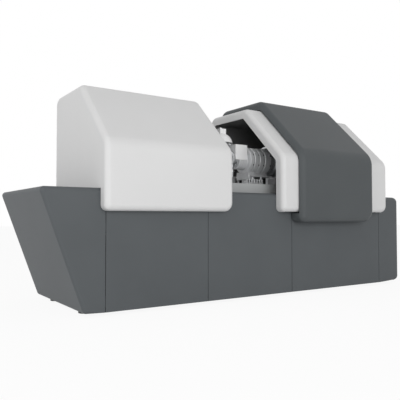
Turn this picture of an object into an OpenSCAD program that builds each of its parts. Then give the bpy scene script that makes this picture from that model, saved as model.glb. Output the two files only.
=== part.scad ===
// Horizontal electron diffractometer for a laboratory floor.
// A long cabinet with a slanted prow carries an isolated table. Two fixed hoods cover the electron
// source and the detector, and a dark access hood slides along the cabinet over the bay between them.
// Origin: on the floor, midway along the length and the depth. The beam runs along +X, and +Z is up.

/* [Cabinet] */
// Depth of the cabinet over its front and rear panels
cabinet_depth = 964; // [940:2:1020]
// Height of the panels, from their lower edge to the deck
cabinet_h = 750; // [720:5:780]
// Free height under the panels
floor_gap = 25; // [20:1:32]
// How far the prow leans out past its foot
prow_lean = 255; // [180:5:270]
// Length of the prow cover along the deck
prow_len = 393; // [385:1:420]
// Length of the left panels
left_panel_len = 747.5; // [700:0.5:780]
// Length of the middle panels
middle_panel_len = 778.5; // [740:0.5:800]
// Length of the tail cover
tail_len = 290; // [270:1:310]
// Thickness of the sheet of the panels
panel_t = 4; // [3:0.5:5]
// Gap between neighbouring panels
panel_gap = 4; // [3:0.5:6]
// Depth of the panels' upper ledge
ledge_d = 44; // [42:1:56]
// Depth of the returns on the panels' edges
return_d = 18; // [12:1:24]
// Radius of the long top edges
edge_r = 34; // [28:1:38]
// Radius of the prow's edges
prow_r = 24; // [16:1:30]
// Radius of the tail's edges
tail_r = 45; // [36:1:52]

/* [Frame and feet] */
// Width of the frame's square tubes
tube_w = 60; // [50:1:64]
// Wall of the frame's square tubes
tube_t = 4; // [3:0.5:6]
// Height of the frame above the floor
foot_h = 60; // [50:1:70]
// Radius of a levelling foot
foot_r = 45; // [35:1:55]
// Radius of a foot's threaded stem
stem_r = 10; // [8:0.5:12]
// Distance of the feet from the front and rear panels
foot_inset = 200; // [160:5:240]
// Thickness of the equipment tray
tray_t = 3; // [2:0.5:4]
// Free height between the electronics crates and the shelf above them
shelf_gap = 23; // [15:1:30]
// How far the frame reaches into the tail cover
frame_in_tail = 80; // [60:1:100]

/* [Ventilation and services] */
// Number of louvre slots in a column
louvre_rows = 12; // [8:1:14]
// Distance between louvre slots
louvre_pitch = 24; // [20:1:28]
// Length of a louvre slot
louvre_len = 200; // [160:5:220]
// Height of a louvre slot
louvre_gap = 9; // [6:0.5:12]
// Radius of a fan opening
fan_r = 75; // [65:1:80]
// Distance between the two fans
fan_pitch = 260; // [220:5:300]
// Depth of a fan's frame
fan_d = 38; // [32:1:44]
// Number of blades on a fan
fan_blades = 7; // [5:1:9]
// Depth of the recess for the service inlets
recess_d = 60; // [55:1:70]
// Bore radius of a cooling water coupling
water_bore_r = 8; // [6:0.5:9]
// Bore radius of the pump's exhaust flange
exhaust_bore_r = 12.5; // [10:0.5:14]

/* [White hoods] */
// Overlap of the source hood on the prow cover
hood_on_prow = 35; // [28:1:42]
// Overlap of the detector hood on the tail cover
hood_on_tail = 23; // [18:1:28]
// Room between the end of the source hood and the high voltage tank
tank_room = 117.5; // [100:0.5:135]
// Room between the detector camera and the end of the detector hood
camera_room = 256.5; // [230:0.5:280]
// Length of the open bay between the hoods
bay_len = 453; // [440:1:470]
// How far the hoods end in front of the rear panels
hood_rear_in = 89; // [80:1:100]
// How far the hoods stand out past the front panels
hood_proud = 78; // [74:1:84]
// Height of the hoods above the deck
hood_h = 708; // [690:1:730]
// Height of the front crease above the deck
hood_crease_h = 283; // [270:1:300]
// Depth of the front skirt below the deck
hood_skirt = 140; // [130:1:150]
// Angle of the sloping front above the horizontal
slope_angle = 43.8; // [42:0.2:46]
// Radius of the upright and end edges
hood_edge_r = 38; // [30:1:42]
// Radius of the front crease
hood_crease_r = 105; // [90:1:120]
// Radius of the ridge and the rear top edge
hood_ridge_r = 70; // [60:1:90]
// Radius of the lower right corner of the skirts
hood_skirt_r = 62; // [56:1:70]
// Thickness of the hood mouldings
hood_t = 6; // [5:0.5:8]
// Thickness of the dark liner sheets
liner_t = 3; // [2:0.5:4]
// Distance from a liner's end sheet to the closed end of its hood
liner_end = 60; // [50:1:70]

/* [Access hood] */
// Distance from the detector hood's open end to the access hood when it stands open
access_open = 153; // [140:1:160]
// Length of the access hood
access_len = 838; // [820:1:860]
// How far the access hood stands out past the white hoods in front
access_proud = 44; // [40:1:50]
// How far it stands out past the white hoods at the rear
access_rear = 66; // [62:1:70]
// Height of its roof above the white roofs
access_over = 86; // [75:1:100]
// Height of its front crease above the white hoods' crease
access_crease_up = 33; // [26:1:42]
// Depth of its floor below the white skirts
access_pan = 77.5; // [66:0.5:90]
// Height of its rear lower edge above the deck
access_rear_lift = 24; // [22:1:30]
// Running gap to the white hood in front and below
access_gap = 8; // [6:0.5:10]
// Radius of its upright and end edges
access_edge_r = 45; // [38:1:48]
// Radius of its front crease
access_crease_r = 150; // [130:1:170]
// Radius of its ridge and rear top edge
access_ridge_r = 90; // [70:1:110]
// Radius of the lower right corner of its skirt
access_skirt_r = 100; // [60:1:102]

/* [Hood guides] */
// Width of a guide rail
rail_w = 20; // [18:1:22]
// Height of a guide rail
rail_h = 17; // [15:0.5:18]
// Distance of the rails' ends from the detector hood's ends
rail_end = 25; // [20:1:40]
// Depth of the front rail's centre below the deck
rail_drop = 62; // [55:1:70]
// Length of a carriage
carriage_len = 80; // [70:1:90]
// Width of a carriage
carriage_w = 44; // [40:1:46]
// Height of a carriage above the face that the rail lies on
carriage_h = 30; // [28:0.5:31]
// Running clearance of the guides
guide_gap = 0.3; // [0.3:0.05:0.5]
// Thickness of the brackets between carriages and hood
bracket_t = 8; // [6:0.5:9]
// Distance between the carriages of a rail
carriage_pitch = 120; // [100:1:124]

/* [Table] */
// Height of the table's top above the deck
bar_h = 74; // [70:1:80]
// Thickness of the table
table_t = 120; // [110:1:130]
// Gap between the table and the long top tubes of the frame
table_frame_gap = 10.5; // [8:0.5:20]
// Distance of the table's ends from the closed ends of the hoods
table_inset = 97; // [90:1:110]
// Clearance round the table in the deck
table_gap = 12; // [10:1:14]
// Radius of an isolator
isolator_r = 55; // [45:1:60]
// Distance of the isolators from the table's ends
isolator_inset = 260; // [220:5:300]
// Distance of the isolators from the beam's plane
isolator_y = 190; // [170:5:200]

/* [Column] */
// Clearance between the tank's flange and the table
tank_clear = 8; // [6:0.5:12]
// Width of the flange round the tank
tank_flange_w = 12; // [10:1:14]
// Radius of the bore for the beam
beam_r = 12; // [10:0.5:14]
// Radius of the high-voltage tank
tank_r = 190; // [180:1:192]
// Length of the high-voltage tank
tank_len = 370; // [340:1:380]
// Radius of the crown of the tank's end
tank_crown_r = 280; // [260:1:320]
// Length of the accelerator tube
accelerator_len = 180; // [160:1:190]
// Radius of the accelerator tube's ribs
accelerator_r = 82; // [75:1:90]
// Number of ribs on the accelerator tube
accelerator_ribs = 7; // [5:1:8]
// Length of the gun chamber
gun_len = 140; // [130:1:150]
// Radius of the gun chamber
gun_r = 105; // [95:1:110]
// Radius of the gun's pump port
gun_port_r = 38; // [32:1:42]
// Length of the gate valve along the beam
valve_len = 35; // [30:1:40]
// Length of the port on the electron source's chamber
gun_port_len = 45; // [40:1:50]
// Thickness of a side port's flange
port_flange_t = 14; // [12:1:16]
// Width of a side port's flange round its opening
port_flange_w = 20; // [16:1:22]
// Radius of the lenses
lens_r = 108; // [100:1:112]
// Length of a condenser lens
condenser_len = 90; // [84:1:95]
// Length of the aperture section
aperture_len = 50; // [44:1:55]
// Radius of the aperture section
aperture_r = 60; // [54:1:70]
// Radius of the aperture rod
aperture_rod_r = 6; // [5:0.5:7]
// Travel of the aperture rod, for which its end has room inside the knob
aperture_travel = 8; // [6:0.5:10]
// Length of the aperture's barrel beyond its housing
barrel_len = 80; // [72:1:90]
// Radius of the aperture's knob
knob_r = 19; // [17:0.5:21]
// Length of the aperture's knob
knob_len = 24; // [22:1:28]
// Distance between the barrel and the knob
knob_gap = 16; // [14:1:20]
// Running clearance of rods and shafts
run_gap = 0.05; // [0.03:0.01:0.08]
// Length of the objective lens
objective_len = 90; // [84:1:95]
// Radius of the objective lens
objective_r = 76; // [70:1:80]
// Lengths of the four projector lenses
projector_len = [39, 50, 50, 63];
// Widths of the grooves behind the lenses
groove_len = [6, 1, 8, 1];
// Depth of the grooves between and round the lenses
groove_d = 11; // [9:1:16]
// Width of the bevel on the lenses' edges
lens_bevel = 4; // [3:0.5:6]
// Radius of a bolt pocket in a lens
pocket_r = 7; // [5:0.5:8]
// Number of bolt pockets in a lens
pocket_count = 8; // [6:2:12]

/* [Sample chamber and goniometer] */
// Radius of the sample chamber
chamber_r = 80; // [76:1:84]
// Half height of the sample chamber
chamber_half_h = 100; // [96:1:104]
// Wall of the sample chamber
chamber_t = 12; // [10:0.5:14]
// Length of the port to the condenser
inlet_len = 23; // [18:1:30]
// Length of the port to the objective
neck_len = 55; // [50:1:62]
// Radius of the ports on the beam
port_r = 40; // [36:1:44]
// Radius of the window's glass
window_r = 36; // [32:1:38]
// Thickness of the window's glass
window_t = 8; // [6:0.5:9]
// Length of the ports in front and behind
side_port_len = 35; // [32:1:40]
// Radius of the passage for the sample rod
passage_r = 13; // [12.5:0.1:14]
// Height of the goniometer's bearing flange
flange_h = 10; // [8:0.5:12]
// Radius of the goniometer's spigot
spigot_r = 30; // [26:1:34]
// Module of the gear teeth
gear_m = 2; // [2:0.1:2.2]
// Number of teeth on the ring gear
ring_teeth = 72; // [68:4:76]
// Number of teeth on the pinion
pinion_teeth = 18; // [17:1:20]
// Width of the ring gear
gear_w = 14; // [12:0.5:15]
// Play between the teeth
backlash = 0.7; // [0.6:0.05:0.9]
// Height of the rotor's drum
drum_h = 32; // [30:1:36]
// Height of the drum above its bearing
drum_floor = 12; // [10:1:14]
// Thickness of a stage plate
stage_t = 9; // [8.5:0.1:10]
// Width of the square stage plates
stage_w = 84; // [80:1:86]
// Height of a stage's guide bars
stage_bar_h = 4; // [3:0.1:4.5]
// Width of a stage's guide bars
stage_bar_w = 8; // [7:0.1:9]
// Distance of a stage's guide bars from the middle
stage_bar_x = 30; // [27:1:32]
// Clearance between the stages' corners and the dome over them
dome_clear = 6.1; // [4:0.1:8]
// Wall of the dome
dome_t = 4; // [3:0.5:5]
// Width of the block on the dome
head_w = 56; // [50:1:62]
// Depth of the block on the dome
head_d = 70; // [60:1:76]
// Height of the loading head above the stages
head_h = 62; // [58:1:66]
// Radius of the sample rod
rod_r = 8; // [7:0.1:8.5]
// Gaps of the drive housing to the chamber and to the first projector lens
drive_gap = 7; // [5:0.5:9]
drive_end_gap = 20; // [15:1:26]
// Depth of the drive housing
drive_d = 165; // [163:1:170]
// Height of the drive housing's top above the chamber
drive_rise = 15; // [13:0.5:17]
// Height of the drive housing
drive_h = 120; // [116:1:125]

/* [Detector] */
// Radius of the detector vessel
vessel_r = 125; // [118:1:128]
// Length of the detector vessel
vessel_len = 560; // [540:5:575]
// Length of the cone at the vessel's start
cone_len = 35; // [30:1:45]
// Wall of the vessel
vessel_t = 8; // [6:0.5:10]
// Width of the vessel's flanges beyond its wall
vessel_flange_w = 10; // [8:1:12]
// Distance of the beam stop from the camera
stop_from_camera = 72; // [65:1:85]
// Radius of the beam stop's rod
stop_rod_r = 5; // [4:0.5:6]
// Height of the beam stop's housing
stop_housing_h = 55; // [50:1:60]
// Side of the detector camera
camera_w = 220; // [200:1:230]
// Length of the detector camera
camera_len = 190; // [170:1:200]
// Number of cooling fins on the detector camera
camera_fins = 9; // [7:1:11]

/* [Pumps and electronics] */
// Radius of the turbo pump
turbo_r = 70; // [64:1:72]
// Distance of the foreline behind the table
foreline_gap = 40; // [36:1:46]
// Radius of the foreline pipe
foreline_r = 12.5; // [11:0.5:14]
// Thickness of the foreline's flanges
foreline_flange_t = 6; // [5:0.5:8]
// Width of the foreline's flanges round the pipe
foreline_flange_w = 8; // [7:0.5:10]
// Height of the backing pump's inlet above its body
scroll_inlet_h = 60; // [50:1:70]
// Thickness of the backing pump's base plate
base_plate_t = 12; // [10:1:14]
// Radius of the backing pump's body
scroll_r = 100; // [90:1:105]
// Width of an electronics crate
crate_w = 560; // [520:5:580]
// Depth of an electronics crate
crate_d = 480; // [440:5:500]
// Height of an electronics crate
crate_h = 110; // [100:1:115]
// Number of electronics crates
crate_count = 3; // [2:1:3]
// Height of the feet under a crate
crate_foot_h = 8; // [6:0.5:10]

/* [Hidden] */
$fn = 96;
hull_fn = 32;
e = 0.01;
cut = 1;
seat = 0.2;
slip = 0.3;

// Lengths of the column on both sides of the sample, and of what stands round it
function stack_len(i) = i == 0 ? 0 : stack_len(i - 1) + projector_len[i - 1] + groove_len[i - 1];
source_reach = tank_len + accelerator_len + gun_len + valve_len + 2 * condenser_len + aperture_len
  + inlet_len + chamber_r;
detector_reach = chamber_r + neck_len + objective_len + stack_len(4) + vessel_len + camera_len;
hoods_len = tank_room + source_reach + detector_reach + camera_room;
cabinet_len = prow_len - hood_on_prow + hoods_len - hood_on_tail + tail_len;

x_left = -cabinet_len / 2;
x_right = cabinet_len / 2;
deck_z = floor_gap + cabinet_h;
y_back = (cabinet_depth + hood_proud + access_proud) / 2;
y_front = y_back - cabinet_depth;
joint_1 = x_left + prow_len;
joint_2 = joint_1 + left_panel_len;
joint_3 = joint_2 + middle_panel_len;
joint_4 = x_right - tail_len;

hood_front = y_front - hood_proud;
hood_back = y_back - hood_rear_in;
hood_bottom = deck_z - hood_skirt;
hood_crease_z = deck_z + hood_crease_h;
hood_roof_z = deck_z + hood_h;
hood_gap = 1;
hood_ring = hood_proud - hood_gap;
source_x0 = joint_1 - hood_on_prow;
sample_x = source_x0 + tank_room + source_reach;
source_x1 = sample_x - bay_len / 2;
detector_x0 = sample_x + bay_len / 2;
detector_x1 = source_x0 + hoods_len;

access_front = hood_front - access_proud;
access_back = hood_back + access_rear;
access_bottom = hood_bottom - access_pan;
access_x0 = detector_x0 + access_open;
access_x1 = access_x0 + access_len;
carriage_last = access_x1 - access_skirt_r - carriage_len / 2;
carriage_x = [carriage_last, carriage_last - carriage_pitch];
front_rail_z = deck_z - rail_drop;
rear_rail_y = (hood_back + access_back) / 2;
rail_x0 = detector_x0 + rail_end;
rail_x1 = detector_x1 - rail_end;

frame_front = y_front + panel_t;
frame_back = y_back - panel_t;
frame_x0 = x_left + prow_lean + tube_w;
frame_x1 = joint_4 + frame_in_tail;
frame_top = deck_z - panel_t;
frame_top_z = frame_top - tube_w;
frame_top_x0 = x_left + prow_r + tube_w;
frame_top_inset = edge_r;
tray_z = foot_h + tube_w;
floor_z = tray_z + tray_t;
shelf_z = floor_z + crate_count * (crate_h + crate_foot_h) + shelf_gap;
post_x = [frame_x0, joint_2 - tube_w / 2, joint_3 - tube_w / 2, frame_x1 - tube_w];

axis_y = (hood_front + hood_back) / 2;
table_z = deck_z + bar_h;
axis_z = table_z + tank_r + tank_flange_w + tank_clear;
table_x0 = source_x0 + table_inset;
table_x1 = detector_x1 - table_inset;
table_y0 = frame_front + frame_top_inset + tube_w + table_frame_gap;
table_d = 2 * (axis_y - table_y0);
table_y1 = table_y0 + table_d;
isolator_x = [table_x0 + isolator_inset, table_x1 - isolator_inset];

condenser2_x1 = sample_x - chamber_r - inlet_len;
condenser2_x0 = condenser2_x1 - condenser_len;
aperture_x0 = condenser2_x0 - aperture_len;
condenser1_x0 = aperture_x0 - condenser_len;
valve_x0 = condenser1_x0 - valve_len;
gun_x0 = valve_x0 - gun_len;
accelerator_x0 = gun_x0 - accelerator_len;
tank_x0 = accelerator_x0 - tank_len;
objective_x0 = sample_x + chamber_r + neck_len;
projector_x0 = objective_x0 + objective_len;
projector_x = [for (i = [0:4]) projector_x0 + stack_len(i)];
groove_r = lens_r - groove_d;
vessel_x0 = projector_x[4];
vessel_x1 = vessel_x0 + vessel_len;
stop_x = vessel_x1 - stop_from_camera;
gun_port_x = gun_x0 + gun_len / 2;
gun_port_y = axis_y + gun_r + gun_port_len;
aperture_mid = aperture_x0 + aperture_len / 2;
barrel_y = axis_y - aperture_r - barrel_len;
knob_y = barrel_y - knob_gap;
knob_cap = 4;
front_port_y = axis_y - chamber_r - side_port_len;
rear_port_y = axis_y + chamber_r + side_port_len;

chamber_top = axis_z + chamber_half_h;
chamber_bottom = axis_z - chamber_half_h;
rotor_z = chamber_top + flange_h + slip;
drum_z = rotor_z + gear_w;
rotor_top = drum_z + drum_h;
stage_x_z = rotor_top + slip;
stage_y_z = stage_x_z + stage_t + slip;
head_z = stage_y_z + stage_t;
dome_r = norm([stage_w / sqrt(2) + dome_clear, head_z - rotor_z]) + dome_t;
ring_r = gear_m * ring_teeth / 2;
pinion_x = sample_x + ring_r + gear_m * pinion_teeth / 2;
shaft_pinion_r = 5;
drive_x0 = sample_x + max(chamber_r, ring_r + gear_m) + drive_gap;
drive_x1 = projector_x0 - drive_end_gap;
drive_z1 = chamber_top + drive_rise;
drive_boss_h = drive_rise - cut;
bearing_floor = 2;
bearing_z = drive_z1 - drive_boss_h + bearing_floor;
tooth_tip = 0.8;
tooth_root = 1.25;
pressure_angle = 20;
stage_bar_len = stage_w * 0.72;
stage_slot_len = stage_w * 0.84;

foreline_y = table_y1 + foreline_gap;
scroll_z = floor_z + base_plate_t / 2 + scroll_r;
scroll_top = scroll_z + scroll_r + scroll_inlet_h;

panel_dark = [0.36, 0.38, 0.39];
hood_dark = [0.34, 0.36, 0.37];
hood_white = [0.86, 0.86, 0.86];
liner_dark = [0.12, 0.12, 0.13];
frame_grey = [0.25, 0.27, 0.29];
table_grey = [0.65, 0.66, 0.66];
metal = [0.72, 0.73, 0.74];
satin = [0.60, 0.61, 0.63];
ceramic = [0.93, 0.92, 0.88];
black = [0.10, 0.10, 0.11];
glass = [0.75, 0.85, 0.90, 0.5];

// A section drawn in Y and Z, drawn out along X from x0 to x1
module along(x0, x1) {
  translate([x0, 0, 0]) rotate([90, 0, 90]) linear_extrude(x1 - x0) children();
}

// A cylinder on the beam line from x0 to x1
module on_beam(x0, x1, r) {
  translate([x0, axis_y, axis_z]) rotate([0, 90, 0]) cylinder(r = r, h = x1 - x0);
}

// A cylinder along Y from y0 to y1
module across(x, z, y0, y1, r) {
  translate([x, y0, z]) rotate([-90, 0, 0]) cylinder(r = r, h = y1 - y0);
}

// A round disc on the beam line with bevelled rims
module bevelled_disc(x0, x1, r, bevel) {
  translate([x0, axis_y, axis_z]) rotate([0, 90, 0]) rotate_extrude() polygon([[0, 0], [r - bevel, 0],
    [r, bevel], [r, x1 - x0 - bevel], [r - bevel, x1 - x0], [0, x1 - x0]]);
}

// A ring of bolt pockets on the beam line, from x0 to x1
module pockets(x0, x1, pitch_r, r, count) {
  for (i = [0:count - 1]) {
    translate([x0, axis_y, axis_z]) rotate([0, 90, 0]) rotate([0, 0, (i + 0.5) * 360 / count])
      translate([pitch_r, 0, 0]) cylinder(r = r, h = x1 - x0, $fn = 24);
  }
}

// Cabinet

// The cabinet's section in Y and Z, inset by t
module cabinet_section(t, z0) {
  translate([y_front + t, z0]) square([cabinet_depth - 2 * t, deck_z - edge_r - z0]);
  translate([y_front + edge_r, z0]) square([cabinet_depth - 2 * edge_r, deck_z - t - z0]);
  for (y = [y_front + edge_r, y_back - edge_r]) {
    translate([y, deck_z - edge_r]) circle(edge_r - t);
  }
}

// A panel of folded sheet between two joints, for the front or mirrored for the rear
module folded_panel(x0, x1) {
  a = x0 + panel_gap / 2;
  b = x1 - panel_gap / 2;
  along(a, b) intersection() {
    difference() {
      cabinet_section(0, floor_gap);
      cabinet_section(panel_t, floor_gap - cut);
    }
    translate([y_front, floor_gap]) square([ledge_d, cabinet_h]);
  }
  translate([a, y_front + panel_t - e, floor_gap]) cube([b - a, return_d, panel_t]);
  for (x = [a, b - panel_t]) {
    translate([x, y_front + panel_t - e, floor_gap]) cube([panel_t, return_d, foot_h - floor_gap - cut]);
  }
}

module rear_side() {
  translate([0, y_front + y_back, 0]) mirror([0, 1, 0]) children();
}

module front_panel_left() {
  color(panel_dark) folded_panel(joint_1, joint_2);
}

module front_panel_middle() {
  color(panel_dark) folded_panel(joint_2, joint_3);
}

module front_panel_right() {
  color(panel_dark) folded_panel(joint_3, joint_4);
}

// Columns of louvre slots with slanting blades behind them
module louvre_cuts(x_mid, z0) {
  for (i = [0:louvre_rows - 1]) {
    translate([x_mid - louvre_len / 2, y_back - panel_t - cut, z0 + i * louvre_pitch])
      cube([louvre_len, panel_t + 2 * cut, louvre_gap]);
  }
}

module louvre_blades(x_mid, z0) {
  blade_t = 2;
  for (i = [0:louvre_rows - 1]) {
    translate([x_mid - louvre_len / 2, y_back - panel_t + e, z0 + i * louvre_pitch + louvre_gap])
      rotate([90, 0, 90]) linear_extrude(louvre_len)
      polygon([[0, 0], [0, blade_t], [-louvre_gap, blade_t - louvre_gap], [-louvre_gap, -louvre_gap]]);
  }
}

module louvred_panel(x0, x1, columns, z0) {
  difference() {
    rear_side() folded_panel(x0, x1);
    for (x = columns) louvre_cuts(x, z0);
  }
  for (x = columns) louvre_blades(x, z0);
}

louvre_z = shelf_z - louvre_rows * louvre_pitch - louvre_gap;
rear_left_mid = (joint_1 + joint_2) / 2;
rear_middle_mid = (joint_2 + joint_3) / 2;
louvre_side = louvre_len * 0.6;

module rear_panel_left() {
  color(panel_dark) louvred_panel(joint_1, joint_2,
    [rear_left_mid - louvre_side, rear_left_mid + louvre_side], louvre_z);
}

fan_z = floor_gap + cabinet_h / 2;
fan_x = [rear_middle_mid - fan_pitch / 2, rear_middle_mid + fan_pitch / 2];
fan_wall = 6;
fan_hub_r = fan_r * 0.3;
fan_spokes = 3;
fan_cap_t = 2;
shaft_r = 4;
guard_r = 2;
guard_rings = 3;

module rear_panel_middle() {
  frame_y = frame_back - fan_d;
  color(panel_dark) {
    difference() {
      rear_side() folded_panel(joint_2, joint_3);
      for (x = fan_x) across(x, fan_z, y_back - panel_t - cut, y_back + cut, fan_r);
    }
    for (x = fan_x) {
      // frame of the fan, its spokes, motor and shaft
      difference() {
        across(x, fan_z, frame_y, frame_back + e, fan_r + fan_wall);
        across(x, fan_z, frame_y - cut, frame_back + cut, fan_r);
      }
      for (a = [0:360 / fan_spokes:359]) {
        translate([x, 0, fan_z]) rotate([0, a, 0]) translate([-fan_wall / 2, frame_y, 0])
          cube([fan_wall, fan_wall, fan_r + fan_wall / 2]);
      }
      across(x, fan_z, frame_y, frame_y + fan_wall, fan_hub_r);
      across(x, fan_z, frame_y, frame_back - fan_wall - fan_cap_t - 4 * slip, shaft_r);
      // guard
      for (i = [1:guard_rings]) {
        translate([x, y_back - guard_r, fan_z]) rotate([-90, 0, 0]) rotate_extrude()
          translate([fan_r * i / (guard_rings + 1), 0]) circle(guard_r - e, $fn = 16);
      }
      for (a = [0, 90]) {
        translate([x, y_back - guard_r, fan_z]) rotate([0, a, 0]) translate([-fan_r - e, -guard_r, -guard_r])
          cube([2 * fan_r + 2 * e, 2 * guard_r, 2 * guard_r]);
      }
    }
  }
}

// Blade wheel that turns on its frame's shaft
module fan_wheel(x) {
  frame_y = frame_back - fan_d;
  y0 = frame_y + fan_wall + slip;
  y1 = frame_back - fan_wall - 3 * slip;
  blade_t = 3;
  blade_twist = 35;
  blade_d = (y1 - y0) * 0.9;
  root_z = fan_hub_r * 0.8;
  color(black) difference() {
    union() {
      across(x, fan_z, y0, y1, fan_hub_r);
      for (i = [0:fan_blades - 1]) {
        translate([x, (y0 + y1) / 2, fan_z]) rotate([0, i * 360 / fan_blades, 0])
          rotate([0, 0, blade_twist]) translate([-blade_t / 2, -blade_d / 2, root_z])
          cube([blade_t, blade_d, fan_r - root_z - blade_t]);
      }
    }
    across(x, fan_z, y0 - cut, y1 - fan_cap_t, shaft_r + run_gap);
  }
}

module fan_left() {
  fan_wheel(fan_x[0]);
}

module fan_right() {
  fan_wheel(fan_x[1]);
}

recess_w = 260;
recess_h = 150;
recess_lift = 160;
recess_x = joint_4 - recess_w / 2 - recess_h;
recess_z = floor_gap + recess_lift;
recess_louvres = [recess_x - recess_w / 2 - louvre_len * 1.9, recess_x - recess_w / 2 - louvre_len * 0.7];

module rear_panel_right() {
  inner = [recess_w, recess_d, recess_h];
  corner = [recess_x - recess_w / 2, y_back - recess_d, recess_z];
  color(panel_dark) {
    difference() {
      union() {
        louvred_panel(joint_3, joint_4, recess_louvres, louvre_z);
        // box of the recess
        translate(corner - [panel_t, panel_t, panel_t]) cube(inner + [2 * panel_t, panel_t - e, 2 * panel_t]);
      }
      translate(corner) cube(inner + [0, cut, 0]);
    }
  }
}

inlet_half = 42;
water_len = 42;
water_pitch = 64;
water_x = recess_x + 25;
exhaust_x = recess_x + 85;
inlet_foot = 8;

// Power inlet, two water couplings and the exhaust flange on the recess's back wall
module service_inlets() {
  y0 = y_back - recess_d;
  z = recess_z + recess_h / 2;
  power_x = recess_x - recess_w / 2 + inlet_half * 1.5;
  power_t = 5;
  wall = 5;
  nut_r = water_bore_r + 12;
  rim_t = 6;
  color(metal) {
    difference() {
      union() {
        translate([power_x - inlet_half, y0, z - inlet_half]) cube([2 * inlet_half, power_t, 2 * inlet_half]);
        across(power_x, z, y0, y0 + water_len, inlet_half * 0.8);
      }
      across(power_x, z, y0 + 2 * power_t, y0 + water_len + cut, inlet_half * 0.66);
    }
    for (dz = [-water_pitch / 2, water_pitch / 2]) {
      difference() {
        union() {
          across(water_x, z + dz, y0, y0 + inlet_foot, nut_r, $fn = 6);
          across(water_x, z + dz, y0, y0 + water_len, water_bore_r + wall);
        }
        across(water_x, z + dz, y0 + inlet_foot, y0 + water_len + cut, water_bore_r);
      }
    }
    difference() {
      union() {
        across(exhaust_x, z, y0, y0 + water_len, exhaust_bore_r + wall - 2);
        across(exhaust_x, z, y0 + water_len - rim_t, y0 + water_len, exhaust_bore_r + inlet_foot);
      }
      across(exhaust_x, z, y0 + inlet_foot, y0 + water_len + cut, exhaust_bore_r);
    }
  }
}

// A disc about X with a rounded rim, or its sector from angle a0 to a1, counted from -Z to +Y
module soft_disc(r, rim, a0 = 0, a1 = 360) {
  rotate([0, 90, 0]) rotate([0, 0, a0]) rotate_extrude(angle = a1 - a0, $fn = hull_fn) intersection() {
    translate([r - rim, 0]) circle(rim, $fn = hull_fn);
    translate([0, -rim]) square([r, 2 * rim]);
  }
}

// Upper corners of the cabinet's section at x, for a hull of length l
module top_edges(x, l, t) {
  for (y = [y_front + edge_r, y_back - edge_r]) {
    translate([x, y, deck_z - edge_r]) rotate([0, 90, 0]) cylinder(r = edge_r - t, h = l, $fn = hull_fn);
  }
}

// The prow's body inset by t: upright at the joint, slanted at its free end
module prow_block(t, reach) {
  x1 = joint_1 - panel_gap / 2 - cut;
  hull() {
    for (y = [y_front + prow_r, y_back - prow_r]) {
      translate([x_left + prow_r, y, deck_z - prow_r]) soft_disc(prow_r - t, prow_r - t);
      translate([x_left + prow_lean + prow_r, y, floor_gap + prow_r]) soft_disc(prow_r - t, prow_r - t);
    }
    top_edges(x1, cut + reach, t);
    translate([x1, y_front + t, floor_gap + t]) cube([cut + reach, cabinet_depth - 2 * t, cut]);
  }
}

module prow_cover() {
  color(panel_dark) difference() {
    prow_block(0, 0);
    prow_block(panel_t, 2 * cut);
    // open underside
    translate([x_left + prow_lean + 2 * prow_r, y_front + return_d, floor_gap - cut])
      cube([prow_len - prow_lean, cabinet_depth - 2 * return_d, prow_r]);
  }
}

// The tail's body inset by t, rounded at its free end
module tail_block(t, reach) {
  x0 = joint_4 + panel_gap / 2 - reach;
  hull() {
    for (y = [y_front + tail_r, y_back - tail_r]) {
      for (z = [floor_gap + tail_r, deck_z - tail_r]) {
        translate([x_right - tail_r, y, z]) soft_disc(tail_r - t, tail_r - t);
      }
    }
    top_edges(x0, cut + reach, t);
    translate([x0, y_front + t, floor_gap + t]) cube([cut + reach, cabinet_depth - 2 * t, cut]);
  }
}

module tail_cover() {
  x0 = joint_4 + panel_gap / 2;
  color(panel_dark) difference() {
    tail_block(0, 0);
    tail_block(panel_t, 2 * cut);
    // open underside
    translate([x0 - cut, y_front + return_d, floor_gap - cut])
      cube([x_right - tail_r - x0, cabinet_depth - 2 * return_d, 2 * panel_t]);
  }
}

// Square tubes of the frame, by their low corner
module tube_x(x0, x1, y, z) {
  translate([x0, y, z]) difference() {
    cube([x1 - x0, tube_w, tube_w]);
    translate([-cut, tube_t, tube_t]) cube([x1 - x0 + 2 * cut, tube_w - 2 * tube_t, tube_w - 2 * tube_t]);
  }
}

module tube_y(y0, y1, x, z) {
  translate([x, y0, z]) difference() {
    cube([tube_w, y1 - y0, tube_w]);
    translate([tube_t, -cut, tube_t]) cube([tube_w - 2 * tube_t, y1 - y0 + 2 * cut, tube_w - 2 * tube_t]);
  }
}

module tube_z(z0, z1, x, y) {
  translate([x, y, z0]) difference() {
    cube([tube_w, tube_w, z1 - z0]);
    translate([tube_t, tube_t, -cut]) cube([tube_w - 2 * tube_t, tube_w - 2 * tube_t, z1 - z0 + 2 * cut]);
  }
}

// Front side of the frame: a ladder of tubes under the long top tube
module frame_ladder() {
  color(frame_grey) {
    tube_x(frame_x0, frame_x1, frame_front, foot_h);
    for (i = [0:2]) tube_x(post_x[i] + tube_w, post_x[i + 1], frame_front, shelf_z);
    for (x = post_x) tube_z(tray_z, frame_top_z, x, frame_front);
    tube_x(frame_top_x0, frame_x1, frame_front + frame_top_inset, frame_top_z);
  }
}

module frame_front_side() {
  frame_ladder();
}

module frame_rear_side() {
  rear_side() frame_ladder();
}

// Tubes from front to rear, and the equipment tray on the lower ones
module frame_cross_tubes() {
  y0 = frame_front + tube_w;
  y1 = frame_back - tube_w;
  color(frame_grey) {
    for (x = post_x) tube_y(y0, y1, x, foot_h);
    for (x = isolator_x) tube_y(y0, y1, x - tube_w / 2, shelf_z);
    for (x = [frame_top_x0, frame_x1 - tube_w]) {
      tube_y(y0 + frame_top_inset, y1 - frame_top_inset, x, frame_top_z);
    }
    translate([post_x[0], y0 + slip, tray_z])
      cube([post_x[3] + tube_w - post_x[0], y1 - y0 - 2 * slip, tray_t]);
  }
}

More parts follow.
